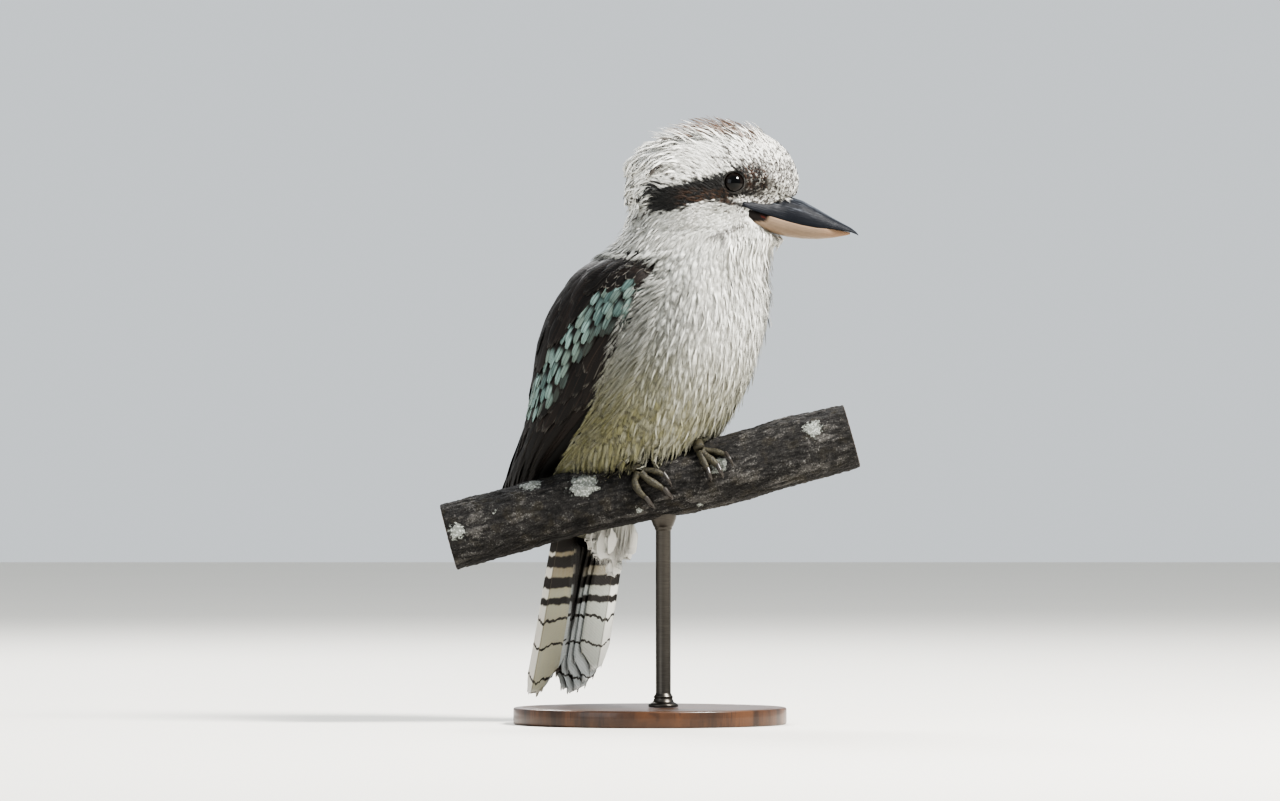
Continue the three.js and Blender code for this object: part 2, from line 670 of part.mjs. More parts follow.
function tailCoverts(grow) {
  const made = [];
  const down = birdDirection(-Math.sin(tailLean), 0, -Math.cos(tailLean));
  const back = birdDirection(-Math.cos(tailLean), 0, Math.sin(tailLean));
  [-1.5, 0, 1.5].forEach((place) => {
    const run = down.clone().addScaledVector(birdDirection(0, 1, 0), 0.05 * place).normalize();
    const side = back.clone().cross(run).normalize();
    const root = birdPoint(tailRoot.ahead - 3, place * 7, tailRoot.height + 3);
    const length = 42 - 3 * Math.abs(place);
    const frames = featherStations.map((share, k) => ({
      point: root
        .clone()
        .addScaledVector(run, share * length)
        .addScaledVector(back, 2.2 + 2.4 * share - 0.5 * Math.abs(place)),
      side,
      face: back,
      half: 10.5 * featherWidths[k],
      curl: 0.8,
    }));
    made.push(leaf(frames, 0.9, grow));
  });
  return made;
}

function tail(grow = 0) {
  const pieces = [];
  for (let pair = 0; pair < tailPairs; pair++) {
    pieces.push(tailFeather(pair, -1, grow), tailFeather(pair, 1, grow));
  }
  const down = birdDirection(-Math.sin(tailLean), 0, -Math.cos(tailLean));
  const belly = birdDirection(Math.cos(tailLean), 0, -Math.sin(tailLean));
  const pad = tailPadWidths.map((half, k) => ({
    point: birdPoint(tailRoot.ahead, 0, tailRoot.height).addScaledVector(down, (k - 0.6) * tailPadStep),
    side: birdDirection(0, 1, 0),
    face: belly,
    half,
    curl: 0,
  }));
  const stumpLine = tailStump.map(([ahead, height]) => birdPoint(ahead, 0, height));
  const stump = limb(stumpLine, [11, 9.5, 5], 12, 4, grow);
  return joined([...pieces, ...tailCoverts(grow), leaf(pad, tailPadThickness, grow), stump]);
}

// White tuft under the tail: a short core with long soft feathers that fan out from it
const tuftRoot = { ahead: -43, left: 3, height: 129 };
const tuftCore = [[-47, 138], [-45, 124], [-44, 108]];
const tuftRows = [
  { count: 4, width: 22, length: 35, ahead: -5 },
  { count: 3, width: 17, length: 42, ahead: 0 },
  { count: 3, width: 12, length: 38, ahead: 5 },
];
const tuftSwell = 2.6;

function underTuft() {
  const core = tuftCore.map(([ahead, height]) => birdPoint(ahead, tuftRoot.left, height));
  const pieces = [limb(core, [11, 10, 5], 10, 4)];
  for (const { count, width, length, ahead } of tuftRows) {
    for (let i = 0; i < count; i++) {
      const place = i / (count - 1) - 0.5;
      const run = birdDirection(0.008 * ahead - 0.1, 0.36 * place, -1);
      const side = birdDirection(-0.5 * place, 1, 0);
      const face = run.clone().cross(side).normalize();
      const left = tuftRoot.left + 0.7 * place * width;
      const root = birdPoint(tuftRoot.ahead + 0.7 * ahead, left, tuftRoot.height - 2);
      const outward = birdDirection(ahead + 0.01, 8 * place, 0);
      const frames = featherStations.map((share, k) => ({
        point: root
          .clone()
          .addScaledVector(run, share * length * (1 - 0.45 * Math.abs(place)))
          .addScaledVector(outward, tuftSwell * Math.sin(Math.PI * Math.min(1.1 * share, 1))),
        side,
        face,
        half: 6.4 * featherWidths[k],
        curl: 0.3,
      }));
      pieces.push(leaf(frames, 0.9));
    }
  }
  return joined(pieces);
}

// Stand
function standBase() {
  const profile = [
    [0, 0],
    [baseRadius - baseBevel * 0.5, 0],
    [baseRadius, baseBevel * 0.5],
    [baseRadius, baseThickness - baseBevel],
    [baseRadius - baseBevel * 0.6, baseThickness - baseBevel * 0.4],
    [baseRadius - baseBevel * 1.6, baseThickness],
    [0, baseThickness],
  ].map(([radius, height]) => new THREE.Vector2(radius, height));
  return solidOf(new THREE.LatheGeometry(profile, 36).rotateX(Math.PI / 2));
}

function standRod() {
  const low = baseThickness + gap;
  const high = 150;
  const shaft = new THREE.CylinderGeometry(rodRadius, rodRadius, high - low, 20);
  const collar = new THREE.CylinderGeometry(collarRadius, rodRadius + 1.5, collarHeight, 20);
  const foot = new THREE.CylinderGeometry(rodRadius + 1.5, collarRadius, 5, 20);
  const underPerch = 119;
  return joined([
    solidOf(shaft.rotateX(Math.PI / 2).translate(rodX, 0, (low + high) / 2)),
    solidOf(collar.rotateX(Math.PI / 2).translate(rodX, 0, underPerch + collarHeight / 2)),
    solidOf(foot.rotateX(Math.PI / 2).translate(rodX, 0, low + 2.5)),
  ]);
}

// Solids
const body = wholeBody();
const bodyRoom = wholeBody(gap);
const perchSolid = perch();
const perchRoom = perch(gap);
const feetSolids = [foot(feet.right), foot(feet.left)].map((solid) => largest(solid.subtract(perchRoom)));
const feetRoom = [foot(feet.right, gap), foot(feet.left, gap)];

const headPlane = { point: vec(28, -20, 298), normal: vec(0.27, -0.03, 0.96) };
const neckPlane = { point: vec(20, -12, 276), normal: vec(0.13, -0.08, 0.99) };
const above = (plane) => halfSpace(plane.point, plane.normal, gap / 2);
const below = (plane) => halfSpace(plane.point, plane.normal.clone().negate(), gap / 2);

const upperBill = largest(billHalf(true).subtract(joined([bodyRoom, nostril(1), nostril(-1)])));
const lowerBill = largest(billHalf(false).subtract(bodyRoom));
const eyes = { right: eyeball(-1), left: eyeball(1) };
const eyeRoom = [eyeball(-1, gap), eyeball(1, gap)];

const headWhole = joined([body, lid(1), lid(-1), ...crownLocks()]);
const head = largest(headWhole.intersect(above(headPlane)).subtract(joined(eyeRoom)));
const neck = largest(body.intersect(below(headPlane)).intersect(above(neckPlane)));
const torso = largest(body.intersect(below(neckPlane)).subtract(joined([perchRoom, ...feetRoom])));

const wingWhole = joined([wingBed(), ...wingFeathers()]);
const rightWing = largest(wingWhole.subtract(joined([bodyRoom, perchRoom])));
const leftWing = largest(mirrored(wingWhole).subtract(joined([bodyRoom, perchRoom])));
const tailSolid = largest(tail().subtract(joined([bodyRoom, perchRoom])));
const tuftSolid = largest(underTuft().subtract(joined([bodyRoom, perchRoom, tail(gap)])));

// Finishes
function finish(color, roughness, metalness = 0) {
  return new THREE.MeshStandardMaterial({ color, roughness, metalness });
}
const white = finish(0xdedcd2, 0.9);
const grey = finish(0xc2bfb2, 0.9);
const brown = finish(0x2b211c, 0.75);
const barred = finish(0xa9a28f, 0.8);
const black = finish(0x20222a, 0.35);
const horn = finish(0xc7a988, 0.45);
const darkEye = finish(0x120d0a, 0.08);
const scaly = finish(0x6a6450, 0.7);
const bark = finish(0x4a453f, 0.95);
const wood = finish(0x3c2a1e, 0.5);
const steel = finish(0x55585c, 0.35, 0.9);

const kookaburra = new THREE.Group();
function add(name, solid, material) {
  const mesh = new THREE.Mesh(geometryOf(solid), material);
  mesh.name = name;
  kookaburra.add(mesh);
}

add("head", head, white);
add("neck", neck, white);
add("torso", torso, grey);
add("bill_upper", upperBill, black);
add("bill_lower", lowerBill, horn);
add("eye_right", eyes.right, darkEye);
add("eye_left", eyes.left, darkEye);
add("wing_right", rightWing, brown);
add("wing_left", leftWing, brown);
add("tail", tailSolid, barred);
add("under_tail_tuft", tuftSolid, white);
add("leg_right", feetSolids[0], scaly);
add("leg_left", feetSolids[1], scaly);
add("perch", perchSolid, bark);
add("stand_base", standBase(), wood);
add("stand_rod", largest(standRod().subtract(perchRoom)), steel);

export default kookaburra;
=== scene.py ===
# A laughing kookaburra at life size on a cut length of branch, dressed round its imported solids.
# Sizes are in millimetres unless a name says otherwise; +Z is up and the bird faces between +X and -Y.
import math

import bpy
import numpy as np
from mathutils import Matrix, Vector, noise
from mathutils.bvhtree import BVHTree
from mathutils.kdtree import KDTree


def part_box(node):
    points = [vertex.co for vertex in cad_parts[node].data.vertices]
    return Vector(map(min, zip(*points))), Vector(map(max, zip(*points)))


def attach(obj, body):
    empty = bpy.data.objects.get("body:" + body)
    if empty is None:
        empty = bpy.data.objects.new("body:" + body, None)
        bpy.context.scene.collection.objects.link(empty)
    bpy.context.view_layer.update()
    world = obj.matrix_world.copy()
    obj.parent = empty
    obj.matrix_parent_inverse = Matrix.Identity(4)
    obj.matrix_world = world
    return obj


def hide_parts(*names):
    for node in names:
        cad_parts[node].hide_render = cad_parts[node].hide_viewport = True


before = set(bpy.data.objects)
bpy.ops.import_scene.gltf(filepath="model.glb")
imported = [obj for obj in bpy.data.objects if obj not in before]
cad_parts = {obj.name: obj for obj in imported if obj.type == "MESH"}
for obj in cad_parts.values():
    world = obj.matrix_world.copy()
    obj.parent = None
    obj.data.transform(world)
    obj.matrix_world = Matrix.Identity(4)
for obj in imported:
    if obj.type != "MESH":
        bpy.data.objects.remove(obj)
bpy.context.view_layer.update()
mm = 0.001
rad = math.radians

bird = {"middle": (7.8, 0), "heading": -45, "headMiddle": (29.5, -22.5), "headHeading": -5}


# Small tools

def clearChoice():
    if bpy.context.mode != "OBJECT":
        bpy.ops.object.mode_set(mode="OBJECT")
    bpy.ops.object.select_all(action="DESELECT")


def choose(*pieces):
    clearChoice()
    for piece in pieces:
        piece.select_set(True)
    bpy.context.view_layer.objects.active = pieces[0]


def named(name):
    piece = bpy.context.object
    piece.name = name
    piece.data.name = name
    return piece


def applyModifier(piece, kind, **settings):
    choose(piece)
    modifier = piece.modifiers.new(kind.title(), kind)
    for key, value in settings.items():
        setattr(modifier, key, value)
    bpy.ops.object.modifier_apply(modifier=modifier.name)


def settled(piece):  # place, turn and size go into the mesh
    choose(piece)
    bpy.ops.object.transform_apply(location=True, rotation=True, scale=True)


def editAll(piece, operator, **settings):  # one mesh operator on the whole piece
    choose(piece)
    bpy.ops.object.mode_set(mode="EDIT")
    bpy.ops.mesh.select_all(action="SELECT")
    operator(**settings)
    bpy.ops.object.mode_set(mode="OBJECT")


def turnOutward(piece):
    editAll(piece, bpy.ops.mesh.normals_make_consistent, inside=False)


def pick(piece, kind, mode, wanted):  # leaves edit mode on, with only the wanted edges or polygons chosen
    bpy.ops.object.mode_set(mode="EDIT")
    bpy.ops.mesh.select_mode(type=mode)
    bpy.ops.mesh.select_all(action="DESELECT")
    bpy.ops.object.mode_set(mode="OBJECT")
    for part in getattr(piece.data, kind):
        part.select = wanted(part)
    bpy.ops.object.mode_set(mode="EDIT")


def merged(name, pieces):
    choose(*pieces)
    if len(pieces) > 1:
        bpy.ops.object.join()
    return named(name)


def vectorsOf(piece, key):
    flat = np.empty(len(piece.data.vertices) * 3, np.float32)
    piece.data.vertices.foreach_get(key, flat)
    return flat.reshape(-1, 3).astype(float)


def pointsOf(piece):  # vertex places in millimetres
    return vectorsOf(piece, "co") / mm


def normalsOf(piece):
    return vectorsOf(piece, "normal")


def movePoints(piece, points):
    piece.data.vertices.foreach_set("co", (points * mm).astype(np.float32).ravel())
    piece.data.update()


def trianglesOf(piece):
    piece.data.calc_loop_triangles()
    flat = np.empty(len(piece.data.loop_triangles) * 3, np.int32)
    piece.data.loop_triangles.foreach_get("vertices", flat)
    return flat.reshape(-1, 3)


def treeOf(*pieces):
    points = []
    faces = []
    for piece in pieces:
        faces += [[corner + len(points) for corner in face.vertices] for face in piece.data.polygons]
        points += [Vector(point) for point in pointsOf(piece)]
    return BVHTree.FromPolygons(points, faces)


def unit(vectors):
    return vectors / np.maximum(np.linalg.norm(vectors, axis=-1, keepdims=True), 1e-9)


def blendUp(values, low, high):  # 0 below low, 1 above high, smooth between
    share = np.clip((values - low) / (high - low), 0, 1)
    return share * share * (3 - 2 * share)


def between(values, low, high):
    return (values >= low) & (values < high)


def smoothShade(piece, degrees=None):
    choose(piece)
    if degrees is None:
        bpy.ops.object.shade_smooth()
    else:
        bpy.ops.object.shade_smooth_by_angle(angle=rad(degrees))


def setValues(piece, name, values):
    attribute = piece.data.attributes.new(name, "FLOAT", "POINT")
    attribute.data.foreach_set("value", np.asarray(values, np.float32))


def setEven(piece, **levels):  # the same value at every point
    for name, level in levels.items():
        setValues(piece, name, np.full(len(piece.data.vertices), level))


def newPiece(name, points, faces):  # points in millimetres, faces all with as many corners
    mesh = bpy.data.meshes.new(name)
    corners = faces.shape[1]
    mesh.vertices.add(len(points))
    mesh.vertices.foreach_set("co", (points * mm).astype(np.float32).ravel())
    mesh.loops.add(faces.size)
    mesh.loops.foreach_set("vertex_index", faces.astype(np.int32).ravel())
    mesh.polygons.add(len(faces))
    mesh.polygons.foreach_set("loop_start", np.arange(0, faces.size, corners, dtype=np.int32))
    mesh.polygons.foreach_set("use_smooth", np.ones(len(faces), bool))
    mesh.update(calc_edges=True)
    piece = bpy.data.objects.new(name, mesh)
    bpy.context.scene.collection.objects.link(piece)
    return piece


def setMap(piece, name, places):  # a UV map from one place for each vertex
    corners = np.empty(len(piece.data.loops), np.int32)
    piece.data.loops.foreach_get("vertex_index", corners)
    layer = piece.data.uv_layers.new(name=name)
    layer.uv.foreach_set("vector", places[corners].astype(np.float32).ravel())


def dress(piece, material, slot, *nodes):
    piece.data.materials.clear()
    piece.data.materials.append(material)
    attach(piece, "root")
    if nodes:
        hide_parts(*nodes)
    return piece


def inBird(points, middle=bird["middle"], heading=bird["heading"]):  # ahead, left and height
    c = math.cos(rad(heading))
    s = math.sin(rad(heading))
    x = points[..., 0] - middle[0]
    y = points[..., 1] - middle[1]
    return np.stack([x * c + y * s, y * c - x * s, points[..., 2]], -1)


def fromBird(places, middle=bird["middle"], heading=bird["heading"]):
    c = math.cos(rad(heading))
    s = math.sin(rad(heading))
    ahead = places[..., 0]
    left = places[..., 1]
    x = middle[0] + ahead * c - left * s
    y = middle[1] + ahead * s + left * c
    return np.stack([x, y, places[..., 2]], -1)


def birdWay(ahead, left, up):  # a direction on the bird, one long
    return unit(fromBird(np.array([ahead, left, up], float)) - fromBird(np.zeros(3)))


def inHead(points):
    return inBird(points, bird["headMiddle"], bird["headHeading"])


def fromHead(places):
    return fromBird(places, bird["headMiddle"], bird["headHeading"])


def mirrored(points):  # across the bird's middle plane
    places = inBird(points)
    places[..., 1] *= -1
    return fromBird(places)


def wander(points, size, seed=0):  # smooth noise from about -1 to 1 at each point
    shift = Vector((seed * 7.3, seed * 3.1, seed * 5.7))
    return np.array([noise.noise(Vector(point) / size + shift) for point in points])


# Shader sums: a wire is an output socket that can be used in Python expressions

def tint(text):  # colour written as #rrggbb
    shares = [int(text[k:k + 2], 16) / 255 for k in (1, 3, 5)]
    return tuple(v / 12.92 if v < 0.04045 else ((v + 0.055) / 1.055) ** 2.4 for v in shares) + (1,)


class Wire:
    def __init__(self, recipe, socket):
        self.recipe = recipe
        self.socket = socket

    def sum(self, operation, *values):
        return self.recipe.node("ShaderNodeMath", {"operation": operation}, dict(enumerate(values)))

    def __add__(self, other):
        return self.sum("ADD", self, other)

    def __radd__(self, other):
        return self.sum("ADD", other, self)

    def __sub__(self, other):
        return self.sum("SUBTRACT", self, other)

    def __rsub__(self, other):
        return self.sum("SUBTRACT", other, self)

    def __mul__(self, other):
        return self.sum("MULTIPLY", self, other)

    def __rmul__(self, other):
        return self.sum("MULTIPLY", other, self)

    def wave(self):
        return self.sum("SINE", self)

    def size(self):
        return self.sum("ABSOLUTE", self)

    def most(self, other):
        return self.sum("MAXIMUM", self, other)

    def ramp(self, low, high):  # 0 at low, 1 at high, smooth between
        settings = {"interpolation_type": "SMOOTHSTEP"}
        return self.recipe.node("ShaderNodeMapRange", settings, {0: self, 1: low, 2: high})


class Recipe:
    def __init__(self, name, **sockets):
        self.material = bpy.data.materials.new(name)
        self.material.use_nodes = True
        self.tree = self.material.node_tree
        self.shader = self.tree.nodes["Principled BSDF"]
        for key, value in sockets.items():
            self.shader.inputs[key.replace("_", " ")].default_value = value

    def node(self, kind, settings, sockets, output=0):
        made = self.tree.nodes.new(kind)
        for key, value in settings.items():
            setattr(made, key, value)
        for key, value in sockets.items():
            if isinstance(value, Wire):
                self.tree.links.new(value.socket, made.inputs[key])
            else:
                made.inputs[key].default_value = value
        return Wire(self, made.outputs[output])

    def place(self):
        return self.node("ShaderNodeTexCoord", {}, {}, "Object")

    def value(self, name):
        return self.node("ShaderNodeAttribute", {"attribute_name": name}, {}, "Fac")

    def values(self, *names):
        return [self.value(name) for name in names]

    def point(self, x, y, z):
        return self.node("ShaderNodeCombineXYZ", {}, {0: x, 1: y, 2: z})

    def stretched(self, vector, x, y, z):
        return self.node("ShaderNodeMapping", {}, {"Vector": vector, "Scale": (x, y, z)})

    def noise(self, vector, scale, detail=3.0, rough=0.5):
        sockets = {"Vector": vector, "Scale": scale, "Detail": detail, "Roughness": rough}
        return self.node("ShaderNodeTexNoise", {}, sockets, "Fac")

    def cells(self, vector, scale):
        return self.node("ShaderNodeTexVoronoi", {}, {"Vector": vector, "Scale": scale}, "Distance")

    def mix(self, share, first, second):  # each colour a wire or written as #rrggbb
        first, second = (tint(colour) if isinstance(colour, str) else colour for colour in (first, second))
        return self.node("ShaderNodeMix", {"data_type": "RGBA"}, {0: share, 6: first, 7: second}, 2)

    def over(self, colour, *layers):  # shares and colours laid one after the other over a colour
        for share, layer in layers:
            colour = self.mix(share, colour, layer)
        return colour

    def feed(self, name, wire):
        self.tree.links.new(wire.socket, self.shader.inputs[name])

    def done(self, colour, height=None, depth=0.0, strength=1.0):  # depth of the relief in metres
        self.feed("Base Color", colour)
        if height is not None:
            sockets = {"Strength": strength, "Distance": depth, "Height": height}
            self.feed("Normal", self.node("ShaderNodeBump", {}, sockets))
        return self.material


# Camera at the photograph's angle, soft light and a pale floor

view = {
    "wide": 1280, "high": 801, "scale": 0.6, "originX": 650, "originY": 724,  # photograph's pixels
    "distance": 6000, "sensor": 36,
}


def fromPixel(px, py):  # level and upright place of a pixel, in the plane of the perch
    return (px - view["originX"]) * view["scale"], (view["originY"] - py) * view["scale"]


def addView():
    across, height = fromPixel(view["wide"] / 2, view["high"] / 2)
    place = Vector((across, -view["distance"], height)) * mm
    bpy.ops.object.camera_add(location=place, rotation=(rad(90), 0, 0))
    camera = bpy.context.object
    camera.data.sensor_width = view["sensor"]
    camera.data.lens = view["sensor"] * view["distance"] / (view["wide"] * view["scale"])
    camera.data.clip_end = 50
    bpy.context.scene.camera = camera


lamps = [  # place, size and strength of each soft lamp, all aimed at the bird
    {"name": "key", "place": (1500, -900, 2000), "size": 700, "watts": 150, "colour": (1, 0.98, 0.95)},
    {"name": "fill", "place": (-1700, -1700, 900), "size": 1600, "watts": 16, "colour": (0.92, 0.96, 1)},
    {"name": "rim", "place": (-500, 1700, 1600), "size": 900, "watts": 36, "colour": (1, 1, 1)},
]
room = {
    "aim": (0, 0, 200), "strength": 0.74, "sky": "#e6ebef", "floor": "#dedbd4",
    "look": "AgX - High Contrast",
}


def addLight():
    for lamp in lamps:
        place = Vector(lamp["place"])
        aim = (Vector(room["aim"]) - place).to_track_quat("-Z", "Y").to_euler()
        bpy.ops.object.light_add(type="AREA", location=place * mm, rotation=aim)
        light = bpy.context.object
        light.name = lamp["name"]
        light.data.size = lamp["size"] * mm
        light.data.energy = lamp["watts"]
        light.data.color = lamp["colour"]
    world = bpy.data.worlds.new("studio")
    world.use_nodes = True
    bpy.context.scene.world = world
    sky = world.node_tree.nodes["Background"]
    sky.inputs["Color"].default_value = tint(room["sky"])
    sky.inputs["Strength"].default_value = room["strength"]
    bpy.context.scene.view_settings.look = room["look"]


def addFloor():
    recipe = Recipe("floorPaint", Roughness=0.8)
    grain = recipe.noise(recipe.place(), 3.0)
    material = recipe.done(recipe.mix(grain * 0.15, room["floor"], "#c8c5be"))
    clearChoice()
    bpy.ops.mesh.primitive_plane_add(size=12, location=(0, 0, 0))
    floor = named("floor")
    editAll(floor, bpy.ops.mesh.subdivide, number_cuts=4)
    floor.data.materials.append(material)


# Eyes' places, worked out from the frame

eyes = {
    "right": {"node": "eye_right", "facing": -84, "side": -1},
    "left": {"node": "eye_left", "facing": 74, "side": 1},
}
for eye in eyes.values():
    low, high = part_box(eye["node"])
    eye["centre"] = (low + high) / 2 / mm
    eye["radius"] = (high.z - low.z) / 2 / mm
    facing = rad(eye["facing"])
    eye["gaze"] = Vector((math.cos(facing), math.sin(facing), 0.08)).normalized()


def fromEye(eye, points):  # offsets from the eye's middle, their depth along the gaze and distance beside it
    off = points - np.array(eye["centre"])
    depth = off @ np.array(eye["gaze"])
    return off, depth, np.linalg.norm(off - depth[:, None] * np.array(eye["gaze"]), axis=1)


# Skin: one closed surface under the coat, from the torso, neck and head

skinSizes = {
    "grow": 0.5, "voxel": 1.25, "smooth": 14, "inset": 2.3, "faceInset": 1.3, "faceFrom": 298,
    "lidHollow": 6.2, "lidReach": 13, "lidInset": 0.3, "hollowDepth": 7,
}
cheekTaper = {  # half width by place ahead, wider again below and above two heights
    "ahead": [18, 26, 34, 42, 50, 60], "half": [31, 22.5, 17.4, 13.8, 11.6, 10],
    "low": 291, "high": 317, "widen": 1.1, "leave": 0.12,
}
chin = {"place": (41, 0, 290), "size": (11, 9.5, 5.2)}


def copyOf(name):
    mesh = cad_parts[name].data.copy()
    piece = bpy.data.objects.new(name + "_flesh", mesh)
    bpy.context.scene.collection.objects.link(piece)
    editAll(piece, bpy.ops.mesh.remove_doubles, threshold=0.00001)
    return piece


def fused(name, nodes, voxel, smooth, grow, extra=()):
    copies = [copyOf(node) for node in nodes]
    for piece in copies:
        applyModifier(piece, "DISPLACE", strength=grow * mm, mid_level=0)
    piece = merged(name, copies + list(extra))
    applyModifier(piece, "REMESH", mode="VOXEL", voxel_size=voxel * mm)
    applyModifier(piece, "SMOOTH", factor=0.5, iterations=smooth)
    return piece


def nearLine(u, v, line):  # 1 near a straight line, 0 far from it
    start = np.array(line["from"], float)
    run = np.array(line["to"], float) - start
    share = np.clip(((u - start[0]) * run[0] + (v - start[1]) * run[1]) / (run @ run), 0, 1)
    distance = np.hypot(u - start[0] - share * run[0], v - start[1] - share * run[1])
    return 1 - blendUp(distance, line["near"], line["far"])


notch = {  # cleft before the right thigh, dipped into the skin; its darkness on the feathers is painted shade
    "from": (-1.5, 166), "to": (4, 147), "near": 1.35, "far": 4.5, "depth": 6,
}


def shapeFace(points):  # the cheeks narrow towards the bill
    places = inHead(points)
    half = np.interp(places[:, 0], cheekTaper["ahead"], cheekTaper["half"])
    half = half + cheekTaper["widen"] * np.maximum(places[:, 2] - cheekTaper["high"], 0)
    half = half + cheekTaper["widen"] * np.maximum(cheekTaper["low"] - places[:, 2], 0)
    near = blendUp(places[:, 0], cheekTaper["ahead"][0], cheekTaper["ahead"][1])
    wide = np.abs(places[:, 1])
    eased = np.where(wide > half, half + cheekTaper["leave"] * (wide - half), wide)
    places[:, 1] = np.sign(places[:, 1]) * (wide + (eased - wide) * near)
    return fromHead(places)


def makeSkin():
    clearChoice()
    bpy.ops.mesh.primitive_uv_sphere_add(segments=40, ring_count=24, radius=mm)
    lobe = named("chin")
    movePoints(lobe, fromHead(pointsOf(lobe) * chin["size"] + chin["place"]))
    nodes = ["torso", "neck", "head"]
    piece = fused("skin", nodes, skinSizes["voxel"], skinSizes["smooth"], skinSizes["grow"], [lobe])
    points = pointsOf(piece)
    normals = normalsOf(piece)
    inset = np.where(points[:, 2] > skinSizes["faceFrom"], skinSizes["faceInset"], skinSizes["inset"])
    rim = skinSizes["lidHollow"]
    for eye in eyes.values():
        _, depth, aside = fromEye(eye, points)
        front = depth > -eye["radius"]
        calm = blendUp(aside, rim, skinSizes["lidReach"])
        inset = np.where(front, inset * calm + skinSizes["lidInset"] * (1 - calm), inset)
        hollow = front * (1 - blendUp(aside, rim - 1.2, rim + 0.6))
        points -= hollow[:, None] * skinSizes["hollowDepth"] * np.array(eye["gaze"])
    points -= inset[:, None] * normals
    dip = notch["depth"] * nearLine(points[:, 0], points[:, 2], notch) * (points[:, 1] < 0)
    points += dip[:, None] * np.array([0, 1, 0])
    movePoints(piece, shapeFace(points))
    applyModifier(piece, "SMOOTH", factor=0.4, iterations=3)
    smoothShade(piece)
    return piece


# Markings and painted shade: shares from 0 to 1 at places on the body, used by the skin and by every feather
# alike

eyeStripe = {  # lower and upper edge heights by place ahead, and where its back and front end
    "ahead": [-31, -26, -18, -9, 3, 12.5, 19, 28, 38, 46],
    "low": [312, 308, 306.8, 308.6, 311, 312.6, 313.6, 314.6, 318.2, 322],
    "high": [315, 321.6, 320.8, 321.8, 324.4, 326, 329.5, 333, 332.6, 327],
    "back": (-31, -26), "front": (47, 41), "soft": 0.7, "aside": 9, "ragged": 1.5, "raggedBack": 1.2,
}
gapeLine = {"from": (17, 313), "to": (29, 310), "near": 0.6, "far": 1.7}
malarShadeLine = {"from": (11, 292.5), "to": (30, 299.2), "near": 0.8, "far": 2.4}
cleftShadeLine = {**notch, "near": 1.5, "far": 5}
parts = {  # parts of the head and body: a measure, where an edge of the part starts and where it is full
    "backOfStripe": [("ahead", -8, -26)],
    "bristle": [("ahead", 25, 32), ("height", 316, 321)],
    "onHead": [("height", 300, 306)],
    "top": [("height", 335, 350)],
    "dusky": [("height", 326, 336)],
    "forehead": [("ahead", 8, 30), ("height", 314, 322)],
    "lore": [("ahead", 30, 36), ("ahead", 62, 54), ("height", 340, 328)],
    "billBase": [("ahead", 21, 25), ("ahead", 52, 44), ("height", 319, 315)],
    "backOfHead": [("ahead", 2, -14), ("height", 310, 316), ("height", 342, 330)],
    "nape": [("ahead", -20, -30), ("height", 330, 322)],
    "crest": [("height", 341, 349), ("ahead", -14, 0), ("ahead", 46, 32)],
    "underEye": [("ahead", -14, 0), ("ahead", 27, 20), ("height", 321, 316)],
    "cheek": [("height", 316, 309), ("height", 288, 296)],
    "side": [("left", 18, 50)],
    "breast": [("height", 296, 282)],
    "lower": [("height", 250, 150)],
    "olive": [("height", 246, 180)],
    "flank": [("height", 212, 176), ("left", 18, 50)],
}
speckShares = {  # how many feathers of a part are dark specks
    "forehead": 0.34, "lore": 0.34, "billBase": 0.3, "backOfHead": 0.1, "nape": 0.07,
}


def partShare(edges, measures):
    share = 1
    for measure, start, full in edges:
        share = share * blendUp(measures[measure], start, full)
    return share


